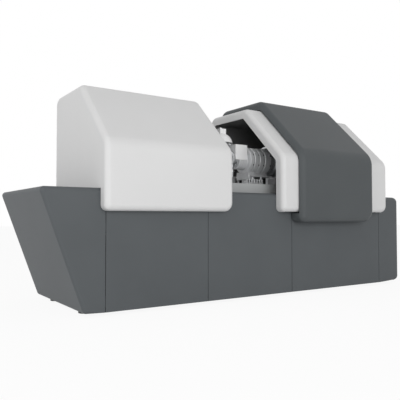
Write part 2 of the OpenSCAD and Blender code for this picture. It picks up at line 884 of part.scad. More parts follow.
module levelling_feet() {
  pad_h = foot_h * 0.15;
  cone_h = foot_h * 0.12;
  nut_h = foot_h * 0.2;
  color(black) for (x = post_x) {
    for (y = [y_front + foot_inset, y_back - foot_inset]) {
      translate([x + tube_w / 2, y, 0]) {
        cylinder(r = foot_r, h = pad_h);
        translate([0, 0, pad_h - e]) cylinder(r1 = foot_r * 0.9, r2 = stem_r * 1.6, h = cone_h);
        cylinder(r = stem_r, h = foot_h);
        translate([0, 0, foot_h - nut_h]) cylinder(r = stem_r * 1.7, h = nut_h, $fn = 6);
      }
    }
  }
}

module deck_plate() {
  y0 = y_front + ledge_d + panel_gap;
  y1 = y_back - ledge_d - panel_gap;
  x0 = joint_1 + panel_gap / 2;
  x1 = joint_4 - panel_gap / 2;
  pipe_gap = 4;
  color(panel_dark) difference() {
    translate([x0, y0, frame_top]) cube([x1 - x0, y1 - y0, panel_t]);
    translate([table_x0 - table_gap, table_y0 - table_gap, frame_top - cut])
      cube([table_x1 - table_x0 + 2 * table_gap, table_d + 2 * table_gap, panel_t + 2 * cut]);
    translate([sample_x, foreline_y, frame_top - cut])
      cylinder(r = foreline_r + pipe_gap, h = panel_t + 2 * cut);
  }
}

module vibration_isolators() {
  z0 = shelf_z + tube_w;
  h = table_z - table_t - z0;
  plate_t = h * 0.08;
  bellows = 3;
  fold_pitch = (h - 2 * plate_t) / (bellows + 1);
  color(black) for (x = isolator_x) {
    for (y = [axis_y - isolator_y, axis_y + isolator_y]) {
      translate([x, y, z0]) {
        cylinder(r = isolator_r, h = plate_t);
        cylinder(r = isolator_r * 0.8, h = h);
        for (i = [1:bellows]) {
          translate([0, 0, plate_t + fold_pitch * i]) rotate_extrude() translate([isolator_r * 0.78, 0])
            circle(fold_pitch * 0.4);
        }
        translate([0, 0, h - plate_t]) cylinder(r = isolator_r, h = plate_t);
      }
    }
  }
}

module optical_table() {
  color(table_grey) translate([table_x0, table_y0, table_z - table_t])
    cube([table_x1 - table_x0, table_d, table_t]);
}

// Hoods

// Centre of an arc of radius r that touches the upright front and the slope
function crease_at(front, z, r) = [front + r, z + r * (sin(slope_angle) - 1) / cos(slope_angle)];

// Centre of an arc of radius r that touches the slope and the roof
function ridge_at(front, z, roof, r) =
  [front + (roof - r - z + r / cos(slope_angle)) / tan(slope_angle), roof - r];

// Closed body of a hood with all its edges rounded, inset by t
module hood_block(x0, x1, front, back, bottom, crease_z, roof_z, crease_r, ridge_r, skirt_r, rim, t) {
  crease = crease_at(front, crease_z, crease_r);
  ridge = ridge_at(front, crease_z, roof_z, ridge_r);
  turn = 180 + slope_angle;
  hull() {
    for (x = [x0 + rim, x1 - rim]) {
      translate([x, crease[0], crease[1]]) soft_disc(crease_r - t, rim - t, turn, 270);
      translate([x, ridge[0], ridge[1]]) soft_disc(ridge_r - t, rim - t, 180, turn);
      translate([x, back - ridge_r, roof_z - ridge_r]) soft_disc(ridge_r - t, rim - t, 90, 180);
    }
    for (y = [front + rim, back - rim]) {
      translate([x0 + rim, y, bottom + rim]) soft_disc(rim - t, rim - t);
      translate([x1 - skirt_r, y, bottom + skirt_r]) rotate([0, 0, -90])
        soft_disc(skirt_r - t, rim - t, 0, 90);
    }
  }
}

// A hood's section in Y and Z, inset by t, down to z0
module hood_section(front, back, z0, crease_z, roof_z, crease_r, ridge_r, t) {
  small = 8;
  ra = max(crease_r, t + small);
  rb = max(ridge_r, t + small);
  hull() {
    translate(crease_at(front, crease_z, ra)) circle(ra - t, $fn = hull_fn);
    translate(ridge_at(front, crease_z, roof_z, rb)) circle(rb - t, $fn = hull_fn);
    translate([back - rb, roof_z - rb]) circle(rb - t, $fn = hull_fn);
    translate([front + t, z0]) square([back - front - 2 * t, cut]);
  }
}

module white_section(t, z0) {
  hood_section(hood_front, hood_back, z0, hood_crease_z, hood_roof_z, hood_crease_r, hood_ridge_r, t);
}

module white_block(x0, x1, t) {
  hood_block(x0, x1, hood_front, hood_back, hood_bottom, hood_crease_z, hood_roof_z,
    hood_crease_r, hood_ridge_r, hood_skirt_r, hood_edge_r, t);
}

// A white hood over the column, open at one end
module white_hood(x0, x1, open_x) {
  difference() {
    white_block(x0, x1, 0);
    white_block(x0, x1, hood_t);
    // the cabinet it stands on
    translate([x0 - cut, y_front - hood_gap, hood_bottom - cut])
      cube([x1 - x0 + 2 * cut, cabinet_depth, deck_z - hood_bottom + cut]);
    along(open_x - 2 * hood_t, open_x + 2 * hood_t) white_section(hood_ring, deck_z - cut);
  }
}

module source_hood() {
  color(hood_white) white_hood(source_x0, source_x1, source_x1);
}

module detector_hood() {
  slot_in = 3;
  slot_len = detector_x1 - detector_x0 - hood_edge_r - hood_skirt_r - 2 * slot_in;
  slot_d = carriage_h + 2 * bracket_t + access_gap;
  color(hood_white) difference() {
    white_hood(detector_x0, detector_x1, detector_x0);
    // slot for the brackets of the access hood
    translate([detector_x0 + hood_edge_r + slot_in, y_front - slot_d, hood_bottom - cut])
      cube([slot_len, slot_d, hood_t + 2 * cut]);
  }
}

// Dark tunnel behind a hood's opening, with one closed end
module liner(x0, x1, closed_left) {
  inner_x0 = closed_left ? x0 + liner_t : x0 - cut;
  inner_x1 = closed_left ? x1 + cut : x1 - liner_t;
  color(liner_dark) difference() {
    along(x0, x1) white_section(hood_ring - liner_t, deck_z);
    along(inner_x0, inner_x1) white_section(hood_ring, deck_z - cut);
  }
}

module source_hood_liner() {
  liner(source_x0 + liner_end, source_x1 - hood_t, true);
}

module detector_hood_liner() {
  liner(detector_x0 + hood_t, detector_x1 - liner_end, false);
}

module dark_block(t) {
  hood_block(access_x0, access_x1, access_front, access_back, access_bottom, hood_crease_z + access_crease_up,
    hood_roof_z + access_over, access_crease_r, access_ridge_r, access_skirt_r, access_edge_r, t);
}

module access_hood() {
  pan_z = hood_bottom - access_gap;
  rear_z = deck_z + access_rear_lift;
  color(hood_dark) difference() {
    dark_block(0);
    dark_block(hood_t);
    // ends open round the white hoods
    along(access_x0 - cut, access_x1 + cut) white_section(-access_gap, pan_z);
    // the cabinet, and the rail on its deck
    translate([access_x0 - cut, y_front - bracket_t, access_bottom - cut])
      cube([access_len + 2 * cut, cabinet_depth + hood_proud, rear_z - access_bottom + cut]);
  }
}

// Hood guides

// A carriage that straddles its rail, on a face at z = 0 with the rail along X
module carriage() {
  translate([-carriage_len / 2, 0, 0]) difference() {
    translate([0, -carriage_w / 2, carriage_h - rail_h - bracket_t])
      cube([carriage_len, carriage_w, rail_h + bracket_t]);
    translate([-cut, -rail_w / 2 - guide_gap, -cut])
      cube([carriage_len + 2 * cut, rail_w + 2 * guide_gap, rail_h + guide_gap + cut]);
  }
}

// A rail of length l on a face at z = 0, waisted as a profile rail is
module rail(l) {
  half = rail_w / 2;
  waist = rail_w * 0.36;
  rotate([90, 0, 90]) linear_extrude(l) polygon([[-half, 0], [half, 0], [half, rail_h * 0.35],
    [waist, rail_h * 0.55], [half, rail_h * 0.8], [half, rail_h], [-half, rail_h],
    [-half, rail_h * 0.8], [-waist, rail_h * 0.55], [-half, rail_h * 0.35]]);
}

module on_front_rail() {
  translate([0, y_front, front_rail_z]) rotate([90, 0, 0]) children();
}

module on_rear_rail() {
  translate([0, rear_rail_y, deck_z]) children();
}

module hood_rails() {
  color(metal) {
    on_front_rail() translate([rail_x0, 0, 0]) rail(rail_x1 - rail_x0);
    on_rear_rail() translate([rail_x0, 0, 0]) rail(rail_x1 - rail_x0);
  }
}

// Two carriages on each rail, each with the bracket that carries the hood
module hood_carriages() {
  arm_y = y_front - carriage_h - bracket_t;
  pan_z = access_bottom + hood_t;
  toe_y = access_front + access_edge_r;
  heel = 46;
  color(satin) for (x = carriage_x) {
    on_front_rail() translate([x, 0, 0]) carriage();
    on_rear_rail() translate([x, 0, 0]) carriage();
    translate([x - carriage_len / 2, 0, 0]) {
      // front: down past the white skirt to the floor of the pan
      translate([0, arm_y, pan_z]) cube([carriage_len, bracket_t, front_rail_z + carriage_w / 2 - pan_z]);
      translate([0, toe_y, pan_z]) cube([carriage_len, arm_y - toe_y + e, bracket_t]);
      // rear: an angle between the carriage and the rear wall
      translate([0, rear_rail_y - carriage_w / 2, deck_z + carriage_h])
        cube([carriage_len, access_back - hood_t - rear_rail_y + carriage_w / 2, bracket_t]);
      translate([0, access_back - hood_t - bracket_t, deck_z + carriage_h])
        cube([carriage_len, bracket_t, heel]);
    }
  }
}

// Electron source

module high_voltage_tank() {
  flange_t = 22;
  bolt_r = 5;
  bolt_h = 8;
  bolt_count = 16;
  x1 = tank_x0 + tank_len - flange_t;
  color(satin) {
    translate([tank_x0, axis_y, axis_z]) rotate([0, 90, 0]) rotate_extrude() {
      // domed end
      intersection() {
        translate([0, tank_crown_r]) circle(tank_crown_r);
        square([tank_r, tank_crown_r]);
      }
      translate([0, tank_len / 2]) square([tank_r, tank_len / 2]);
      translate([0, tank_len - flange_t]) square([tank_r + tank_flange_w, flange_t]);
    }
    pockets(x1 - bolt_h, x1 + e, tank_r + tank_flange_w / 2, bolt_r, bolt_count);
  }
}

module accelerator_tube() {
  plate_t = 12;
  plate_w = 16;
  rib_d = 20;
  pitch = (accelerator_len - 2 * plate_t) / accelerator_ribs;
  rib_t = pitch / 2;
  rib_bevel = pitch * 0.2;
  color(ceramic) difference() {
    union() {
      on_beam(accelerator_x0, gun_x0, accelerator_r - rib_d);
      on_beam(accelerator_x0, accelerator_x0 + plate_t, accelerator_r + plate_w);
      on_beam(gun_x0 - plate_t, gun_x0, accelerator_r + plate_w);
      for (i = [0:accelerator_ribs - 1]) {
        x = accelerator_x0 + plate_t + pitch * (i + 0.5);
        bevelled_disc(x - rib_t / 2, x + rib_t / 2, accelerator_r, rib_bevel);
      }
    }
    on_beam(accelerator_x0 - cut, gun_x0 + cut, 2 * beam_r);
  }
}

module gun_chamber() {
  flange_t = 18;
  flange_w = 15;
  bevel = 2;
  color(metal) difference() {
    union() {
      on_beam(gun_x0, valve_x0, gun_r);
      for (x = [gun_x0, valve_x0 - flange_t]) bevelled_disc(x, x + flange_t, gun_r + flange_w, bevel);
      across(gun_port_x, axis_z, axis_y, gun_port_y, gun_port_r);
      across(gun_port_x, axis_z, gun_port_y - port_flange_t, gun_port_y, gun_port_r + port_flange_w);
    }
    on_beam(gun_x0 - cut, valve_x0 + cut, beam_r);
  }
}

module gun_ion_pump() {
  w = 150;
  d = 130;
  magnet_w = 120;
  magnet_t = 16;
  magnet_in = 10;
  y0 = gun_port_y + port_flange_t;
  z0 = axis_z - w / 2;
  color(satin) {
    across(gun_port_x, axis_z, gun_port_y, y0, gun_port_r + port_flange_w);
    translate([gun_port_x - w / 2, y0 - e, z0]) cube([w, d, w]);
    // magnets above and below
    for (z = [z0 - magnet_t, z0 + w - e]) {
      translate([gun_port_x - magnet_w / 2, y0 + magnet_in, z])
        cube([magnet_w, d - 2 * magnet_in, magnet_t + e]);
    }
  }
}

module gun_gate_valve() {
  half = 62;
  bonnet_h = 75;
  actuator_r = 28;
  actuator_h = 70;
  collar_r = 35;
  collar_t = 10;
  top = axis_z + half + bonnet_h;
  color(satin) difference() {
    union() {
      translate([valve_x0, axis_y - half, axis_z - half]) cube([valve_len, 2 * half, 2 * half + bonnet_h]);
      translate([valve_x0 + valve_len / 2, axis_y, top - e]) {
        cylinder(r = actuator_r, h = actuator_h);
        cylinder(r = collar_r, h = collar_t);
      }
    }
    on_beam(valve_x0 - cut, valve_x0 + valve_len + cut, beam_r);
  }
}

// A condenser lens with two grooves round it
module condenser(x0) {
  ring_w = 8;
  ring_in = 27;
  difference() {
    bevelled_disc(x0, x0 + condenser_len, lens_r, lens_bevel);
    on_beam(x0 - cut, x0 + condenser_len + cut, beam_r);
    for (x = [x0 + ring_in, x0 + condenser_len - ring_in]) {
      difference() {
        on_beam(x - ring_w / 2, x + ring_w / 2, lens_r + cut);
        on_beam(x - ring_w, x + ring_w, groove_r);
      }
    }
  }
}

module condenser_lens_first() {
  color(metal) condenser(condenser1_x0);
}

module condenser_lens_second() {
  color(metal) condenser(condenser2_x0);
}

module aperture_barrel() {
  bevel = 2;
  barrel_t = 10;
  collar_t = 14;
  collar_w = 16;
  color(satin) difference() {
    union() {
      bevelled_disc(aperture_x0, condenser2_x0, aperture_r, bevel);
      across(aperture_mid, axis_z, barrel_y, axis_y, aperture_rod_r + barrel_t);
      across(aperture_mid, axis_z, axis_y - aperture_r - collar_t, axis_y, aperture_rod_r + collar_w);
    }
    on_beam(aperture_x0 - cut, condenser2_x0 + cut, beam_r);
    across(aperture_mid, axis_z, barrel_y - cut, axis_y, aperture_rod_r + run_gap);
  }
}

module aperture_rod() {
  strip_t = 2;
  strip_w = 6;
  strip_gap = 4;
  end_gap = 1;
  color(metal) {
    across(aperture_mid, axis_z, knob_y - knob_len + knob_cap + aperture_travel + end_gap, axis_y - beam_r,
      aperture_rod_r);
    // strip with the apertures
    translate([aperture_mid - strip_t / 2, axis_y - beam_r - e, axis_z - strip_w / 2])
      cube([strip_t, beam_r - strip_gap, strip_w]);
  }
}

// Knurled micrometer drum on the rod's end
module aperture_knob() {
  ribs = 24;
  notch = 1.6;
  notch_len = 17;
  color(black) difference() {
    across(aperture_mid, axis_z, knob_y - knob_len, knob_y, knob_r);
    across(aperture_mid, axis_z, knob_y - knob_len + knob_cap - slip, knob_y + cut, aperture_rod_r + run_gap);
    for (i = [0:ribs - 1]) {
      translate([aperture_mid, 0, axis_z]) rotate([0, i * 360 / ribs, 0]) translate([0, 0, knob_r])
        rotate([0, 45, 0]) translate([-notch / 2, knob_y - knob_len - cut, -notch / 2])
          cube([notch, notch_len + cut, notch]);
    }
  }
}

// Sample chamber and goniometer

// Vent valve under the chamber's outlet
module vent_valve() {
  r = 17;
  ring_w = 7;
  ring_t = 8;
  pitch = 56;
  body_z = 22;
  body_h = 50;
  body_d = 54;
  translate([(sample_x + chamber_r + objective_x0) / 2, axis_y, table_z]) {
    cylinder(r = r, h = axis_z - port_r / 2 - table_z);
    for (i = [0:2]) translate([0, 0, i * pitch]) cylinder(r = r + ring_w, h = ring_t);
    translate([-r, -body_d / 2, body_z]) cube([2 * r, body_d, body_h]);
  }
}

module sample_chamber() {
  pipe_t = 6;
  lip = 5;
  inlet_flange_t = 8;
  inlet_flange_w = 14;
  pedestal_r = 44;
  base_in = 4;
  base_t = 14;
  color(metal) difference() {
    union() {
      translate([sample_x, axis_y, chamber_bottom]) cylinder(r = chamber_r, h = 2 * chamber_half_h);
      on_beam(condenser2_x1, objective_x0, port_r);
      for (x = [condenser2_x1, objective_x0 - inlet_flange_t]) {
        on_beam(x, x + inlet_flange_t, port_r + inlet_flange_w);
      }
      across(sample_x, axis_z, front_port_y, rear_port_y, window_r + pipe_t);
      for (y = [front_port_y, rear_port_y - port_flange_t]) {
        across(sample_x, axis_z, y, y + port_flange_t, window_r + port_flange_w);
      }
      vent_valve();
      // pedestal on the table
      translate([sample_x, axis_y, table_z]) {
        cylinder(r = pedestal_r, h = chamber_bottom - table_z + cut);
        cylinder(r = chamber_r - base_in, h = base_t);
      }
    }
    translate([sample_x, axis_y, chamber_bottom + chamber_t])
      cylinder(r = chamber_r - chamber_t, h = 2 * (chamber_half_h - chamber_t));
    translate([sample_x, axis_y, axis_z]) cylinder(r = passage_r, h = chamber_half_h + cut);
    on_beam(condenser2_x1 - cut, objective_x0 + cut, beam_r);
    across(sample_x, axis_z, front_port_y - cut, rear_port_y + cut, window_r - lip);
    across(sample_x, axis_z, front_port_y - cut, front_port_y + window_t, window_r + seat);
  }
}

module chamber_window() {
  color(glass) across(sample_x, axis_z, front_port_y, front_port_y + window_t, window_r);
}

module goniometer_base() {
  lip = 4;
  color(satin) translate([sample_x, axis_y, chamber_top]) difference() {
    union() {
      cylinder(r = chamber_r - lip, h = flange_h);
      cylinder(r = spigot_r, h = flange_h + gear_w + drum_h - drum_floor);
    }
    translate([0, 0, -cut]) cylinder(r = passage_r, h = flange_h + gear_w + drum_h);
  }
}

// Outline of a spur gear: four points a tooth, the flanks slanted by the pressure angle
function gear_outline(n, half_play) = let(
    r = gear_m * n / 2,
    tip = tooth_tip * gear_m,
    root = tooth_root * gear_m,
    half = PI * gear_m / 4 - half_play,
    lean = tan(pressure_angle)
  ) [for (i = [0:n - 1], k = [0:3]) let(
    out = k == 1 || k == 2,
    side = k < 2 ? -1 : 1,
    rad = out ? r + tip : r - root,
    w = out ? half - lean * tip : half + lean * root,
    a = i * 360 / n + side * w / r * 180 / PI
  ) [rad * cos(a), rad * sin(a)]];

module goniometer_rotor() {
  drum_r = 52;
  bore_h = gear_w + drum_h - drum_floor + slip;
  color(metal) translate([sample_x, axis_y, 0]) difference() {
    union() {
      translate([0, 0, rotor_z]) linear_extrude(gear_w) polygon(gear_outline(ring_teeth, backlash / 4));
      translate([0, 0, drum_z - e]) cylinder(r = drum_r, h = drum_h);
      for (y = [-stage_bar_x - stage_bar_w, stage_bar_x]) {
        translate([-stage_bar_len / 2, y, rotor_top - cut])
          cube([stage_bar_len, stage_bar_w, stage_bar_h + cut]);
      }
    }
    translate([0, 0, rotor_z - cut]) cylinder(r = spigot_r + run_gap, h = bore_h + cut);
    translate([0, 0, rotor_z]) cylinder(r = passage_r, h = gear_w + drum_h + cut);
  }
}

module drive_housing() {
  boss_r = shaft_pinion_r + 4;
  boss_z = drive_z1 - drive_boss_h;
  color(hood_white) difference() {
    union() {
      translate([drive_x0, axis_y - drive_d / 2, drive_z1 - drive_h])
        cube([drive_x1 - drive_x0, drive_d, drive_h]);
      // bearing of the pinion's shaft, on a nose of the housing
      translate([pinion_x, axis_y, boss_z]) cylinder(r = boss_r, h = drive_boss_h);
      translate([pinion_x, axis_y - boss_r, boss_z]) cube([drive_x1 - pinion_x, 2 * boss_r, drive_boss_h]);
    }
    on_beam(drive_x0 - cut, drive_x1 + cut, objective_r + seat);
    translate([pinion_x, axis_y, bearing_z]) cylinder(r = shaft_pinion_r + run_gap, h = drive_boss_h);
  }
}

module drive_pinion() {
  // a gap faces the ring's tooth
  pinion_turn = pinion_teeth % 2 == 0 ? 180 / pinion_teeth : 0;
  color(satin) translate([pinion_x, axis_y, 0]) {
    translate([0, 0, drive_z1 + slip]) rotate([0, 0, pinion_turn])
      linear_extrude(rotor_z + gear_w - drive_z1 - slip) polygon(gear_outline(pinion_teeth, backlash / 4));
    translate([0, 0, bearing_z + slip]) cylinder(r = shaft_pinion_r, h = drive_boss_h);
  }
}

// A stage plate with slots below for one pair of bars and a pair of bars on top across them
module stage_plate(z0, bars_on_top) {
  slot_w = stage_bar_w + 2 * slip;
  difference() {
    union() {
      translate([-stage_w / 2, -stage_w / 2, z0]) cube([stage_w, stage_w, stage_t]);
      if (bars_on_top) for (x = [-stage_bar_x - stage_bar_w, stage_bar_x]) {
        translate([x, -stage_bar_len / 2, z0 + stage_t - e]) cube([stage_bar_w, stage_bar_len, stage_bar_h]);
      }
    }
    for (y = [-stage_bar_x - stage_bar_w - slip, stage_bar_x - slip]) {
      translate([-stage_slot_len / 2, y, z0 - cut]) cube([stage_slot_len, slot_w, stage_bar_h + cut]);
    }
    translate([0, 0, z0 - cut]) cylinder(r = passage_r, h = stage_t + 2 * cut);
  }
}

module stage_x_slide() {
  color(satin) translate([sample_x, axis_y, 0]) stage_plate(stage_x_z, true);
}

module stage_y_slide() {
  color(satin) translate([sample_x, axis_y, 0]) rotate([0, 0, 90]) stage_plate(stage_y_z, false);
}

// Dome over the stages, hollow round them, with the block of the rod's lock on top
module loading_head() {
  color(hood_white) difference() {
    union() {
      translate([sample_x, axis_y, rotor_z]) rotate_extrude() difference() {
        intersection() {
          circle(dome_r);
          translate([0, gear_w + 2 * slip]) square([dome_r, dome_r]);
        }
        intersection() {
          circle(dome_r - dome_t);
          square([dome_r, head_z - rotor_z]);
        }
      }
      translate([sample_x - head_w / 2, axis_y - head_d / 2, head_z]) cube([head_w, head_d, head_h]);
    }
    translate([sample_x, axis_y, head_z - cut]) cylinder(r = rod_r + run_gap, h = head_h + 2 * cut);
  }
}

module sample_rod() {
  tip_h = 30;
  tip_r = 2.5;
  taper_z = 6;
  blade_t = 1.2;
  blade_h = 12;
  blade_below = 4;
  cap_w = 4;
  cap_h = 10;
  top = head_z + head_h + slip;
  color(metal) translate([sample_x, axis_y, 0]) {
    translate([0, 0, axis_z + tip_h]) cylinder(r = rod_r, h = top - axis_z - tip_h + e);
    translate([0, 0, axis_z + taper_z]) cylinder(r1 = tip_r, r2 = rod_r, h = tip_h - taper_z + e);
    translate([-tip_r, -blade_t / 2, axis_z - blade_below]) cube([2 * tip_r, blade_t, blade_h]);
    translate([0, 0, top]) cylinder(r = rod_r + cap_w, h = cap_h);
  }
}

// Lenses after the sample

module objective_lens() {
  color(metal) difference() {
    bevelled_disc(objective_x0, projector_x0, objective_r, lens_bevel);
    on_beam(objective_x0 - cut, projector_x0 + cut, beam_r);
  }
}

// A projector lens with its groove towards the next one and bolt pockets in its rim
module projector_lens(i) {
  pocket_d = 14;
  x0 = projector_x[i];
  x1 = x0 + projector_len[i];
  color(metal) difference() {
    union() {
      bevelled_disc(x0, x1, lens_r, lens_bevel);
      on_beam(x1 - e, projector_x[i + 1], groove_r);
    }
    on_beam(x0 - cut, projector_x[i + 1] + cut, beam_r);
    pockets(x1 - pocket_d, x1 + cut, lens_r - pocket_r * 0.4, pocket_r, pocket_count);
  }
}

module projector_lens_1() {
  projector_lens(0);
}

module projector_lens_2() {
  projector_lens(1);
}

module projector_lens_3() {
  projector_lens(2);
}

module projector_lens_4() {
  projector_lens(3);
}

// A cooling coupling that stands on its foot at the origin
module coupling() {
  stem_r = 6;
  stem_h = 46;
  nut_r = 9.5;
  nut_h = 26;
  ring_r = 8.5;
  ring_z = 40;
  ring_t = 10;
  cylinder(r = stem_r, h = stem_h);
  cylinder(r = nut_r, h = nut_h, $fn = 6);
  translate([0, 0, ring_z]) cylinder(r = ring_r, h = ring_t);
}

// Plate on posts under the projector lenses, a block under the first, and a row of cooling couplings
module lens_cradle() {
  plate_t = 12;
  plate_drop = 29;
  plate_in = 8;
  post_in = 16;
  post_r = 9;
  post_foot_r = 14.5;
  post_foot_t = 8;
  cradle_w = 90;
  cradle_h = 42;
  block_w = 64;
  block_d = 152;
  block_drop = 20;
  block_lap = 6;
  stem_r = 24;
  stem_in = 20;
  couplings = 7;
  pitch = 26;
  row_in = 20;
  row_gap = 2;
  row_w = 24;
  row_h = 14;
  plate_z = axis_z - lens_r - plate_drop;
  plate_x0 = projector_x0 + plate_in;
  plate_y0 = axis_y - lens_r;
  block_z = plate_z - block_drop;
  color(metal) {
    translate([plate_x0, plate_y0, plate_z]) cube([vessel_x0 - plate_x0, 2 * lens_r, plate_t]);
    for (x = [plate_x0 + post_in, (plate_x0 + vessel_x0) / 2, vessel_x0 - post_in]) {
      for (y = [plate_y0 + post_in, axis_y + lens_r - post_in]) {
        translate([x, y, table_z]) cylinder(r = post_r, h = plate_z - table_z + cut);
        translate([x, y, table_z]) cylinder(r = post_foot_r, h = post_foot_t);
      }
    }
    difference() {
      union() {
        translate([plate_x0, axis_y - cradle_w / 2, plate_z])
          cube([vessel_x0 - plate_x0, cradle_w, cradle_h]);
        translate([projector_x0 - block_lap, axis_y - block_d / 2, block_z])
          cube([block_w, block_d, cradle_h + block_drop]);
      }
      on_beam(plate_x0 - block_w, vessel_x0 + cut, lens_r + seat);
    }
    translate([projector_x0 + stem_in, axis_y, table_z]) cylinder(r = stem_r, h = block_z - table_z + cut);
    // couplings on their distributor
    translate([objective_x0 + row_in, plate_y0 - row_gap - row_w, table_z]) {
      cube([couplings * pitch, row_w, row_h]);
      for (i = [0:couplings - 1]) translate([(i + 0.5) * pitch, row_w / 2, 0]) coupling();
    }
  }
}

module lens_supply() {
  w = 110;
  d = 90;
  h = 56;
  lap = 50;
  gap = 6;
  fins = 6;
  fin_pitch = 16;
  fin_t = 6;
  fin_h = 6;
  fin_x = 10;
  fin_in = 6;
  translate([vessel_x0 - lap, axis_y - lens_r - gap - d, table_z]) color(black) {
    cube([w, d, h]);
    for (i = [0:fins - 1]) {
      translate([fin_x + i * fin_pitch, fin_in, h - e]) cube([fin_t, d - 2 * fin_in, fin_h]);
    }
  }
}

// Detector

module detector_vessel() {
  ring_t = 18;
  ring_bevel = 3;
  flange_bevel = 2;
  stop_gap = 2;
  cone_x = vessel_x0 + cone_len;
  color(satin) difference() {
    union() {
      translate([vessel_x0, axis_y, axis_z]) rotate([0, 90, 0])
        cylinder(r1 = lens_r, r2 = vessel_r, h = cone_len + e);
      on_beam(cone_x, vessel_x1, vessel_r);
      bevelled_disc(cone_x - ring_t / 2, cone_x + ring_t / 2, vessel_r + vessel_flange_w, ring_bevel);
      bevelled_disc(vessel_x1 - ring_t, vessel_x1, vessel_r + vessel_flange_w, flange_bevel);
    }
    on_beam(vessel_x0 - cut, cone_x + e, beam_r);
    on_beam(cone_x, vessel_x1 - vessel_t, vessel_r - vessel_t);
    on_beam(vessel_x1 - vessel_t - cut, vessel_x1 + cut, vessel_r * 0.6);
    translate([stop_x, axis_y, axis_z]) cylinder(r = stop_rod_r + stop_gap, h = vessel_r + cut);
  }
}

module beam_stop_housing() {
  base_r = 26;
  base_t = 10;
  tube_r = 17;
  head_r = 21;
  head_t = 12;
  root = 4;
  z0 = axis_z + vessel_r;
  color(metal) difference() {
    translate([stop_x, axis_y, z0]) {
      translate([0, 0, -root]) cylinder(r = base_r, h = base_t + root);
      cylinder(r = tube_r, h = stop_housing_h);
      translate([0, 0, stop_housing_h - head_t]) cylinder(r = head_r, h = head_t);
    }
    on_beam(stop_x - 2 * base_r, stop_x + 2 * base_r, vessel_r + seat);
    translate([stop_x, axis_y, axis_z])
      cylinder(r = stop_rod_r + run_gap, h = vessel_r + stop_housing_h + cut);
  }
}

module beam_stop_rod() {
  rod_z = 10;
  pin_r = 1.5;
  pin_drop = 3;
  disc_r = 3.5;
  disc_t = 3;
  cap_r = 15;
  cap_h = 22;
  top = vessel_r + stop_housing_h + slip;
  color(satin) translate([stop_x, axis_y, axis_z]) {
    translate([0, 0, rod_z]) cylinder(r = stop_rod_r, h = top - rod_z + e);
    translate([0, 0, -pin_drop]) cylinder(r = pin_r, h = rod_z + pin_drop + cut);
    translate([-disc_t / 2, 0, 0]) rotate([0, 90, 0]) cylinder(r = disc_r, h = disc_t);
    translate([0, 0, top]) cylinder(r = cap_r, h = cap_h);
  }
}

module detector_camera() {
  flange_t = 14;
  flange_bevel = 2;
  fin_h = 16;
  fin_x = 35;
  fin_end = 15;
  fin_in = 22;
  half = camera_w / 2;
  fin_pitch = (camera_len - fin_x - fin_end) / camera_fins;
  fin_gap = fin_pitch * 0.55;
  color(hood_white) {
    bevelled_disc(vessel_x1, vessel_x1 + flange_t, vessel_r + vessel_flange_w, flange_bevel);
    difference() {
      translate([vessel_x1 + flange_t - e, axis_y - half, axis_z - half])
        cube([camera_len - flange_t, camera_w, camera_w]);
      for (i = [0:camera_fins - 1]) {
        translate([vessel_x1 + fin_x + i * fin_pitch, axis_y - half + fin_in, axis_z + half - fin_h])
          cube([fin_gap, camera_w - 2 * fin_in, fin_h + cut]);
      }
    }
  }
}

// A block on the table, its middle at x, with a round seat for a piece of the column
module saddle(x, w, half, r) {
  foot_w = 14;
  foot_t = 10;
  seat_z = axis_z - r * 0.62;
  difference() {
    union() {
      translate([x - w / 2, axis_y - half, table_z]) cube([w, 2 * half, seat_z - table_z]);
      translate([x - w / 2 - foot_w, axis_y - half - foot_w, table_z])
        cube([w + 2 * foot_w, 2 * (half + foot_w), foot_t]);
    }
    on_beam(x - w, x + w, r + seat);
  }
}

module column_saddles() {
  wide = 50;
  tank_half = 130;
  tank_in = [90, 80];
  gun_w = 44;
  gun_half = 75;
  lens_w = 24;
  lens_half = 70;
  vessel_half = 90;
  vessel_in = [130, 120];
  stand_w = 90;
  stand_d = 160;
  color(satin) {
    saddle(tank_x0 + tank_in[0], wide, tank_half, tank_r);
    saddle(tank_x0 + tank_len - tank_in[1], wide, tank_half, tank_r);
    saddle(gun_port_x, gun_w, gun_half, gun_r);
    saddle(condenser1_x0 + condenser_len / 2, lens_w, lens_half, lens_r);
    saddle(condenser2_x0 + condenser_len / 2, lens_w, lens_half, lens_r);
    saddle(vessel_x0 + vessel_in[0], wide, vessel_half, vessel_r);
    saddle(vessel_x1 - vessel_in[1], wide, vessel_half, vessel_r);
    // stand of the detector camera
    translate([vessel_x1 + (camera_len - stand_w) / 2, axis_y - stand_d / 2, table_z])
      cube([stand_w, stand_d, axis_z - camera_w / 2 - table_z]);
  }
}

// Pumps and electronics

// Pump behind the chamber, with the foreline down from its outlet to the backing pump
module turbo_pump() {
  body_short = 45;
  motor_in = 8;
  motor_over = 28;
  rings = 4;
  ring_y = 16;
  ring_pitch = 16;
  ring_t = 6;
  ring_w = 5;
  y0 = rear_port_y + port_flange_t;
  body_y = foreline_y - body_short;
  color(satin) {
    across(sample_x, axis_z, rear_port_y, y0, window_r + port_flange_w);
    across(sample_x, axis_z, y0 - e, body_y, turbo_r);
    across(sample_x, axis_z, body_y - e, foreline_y + motor_over, turbo_r - motor_in);
    for (i = [0:rings - 1]) {
      y = y0 + ring_y + i * ring_pitch;
      across(sample_x, axis_z, y, y + ring_t, turbo_r + ring_w);
    }
    translate([sample_x, foreline_y, scroll_top]) {
      cylinder(r = foreline_r, h = axis_z - scroll_top);
      cylinder(r = foreline_r + foreline_flange_w, h = foreline_flange_t);
    }
  }
}

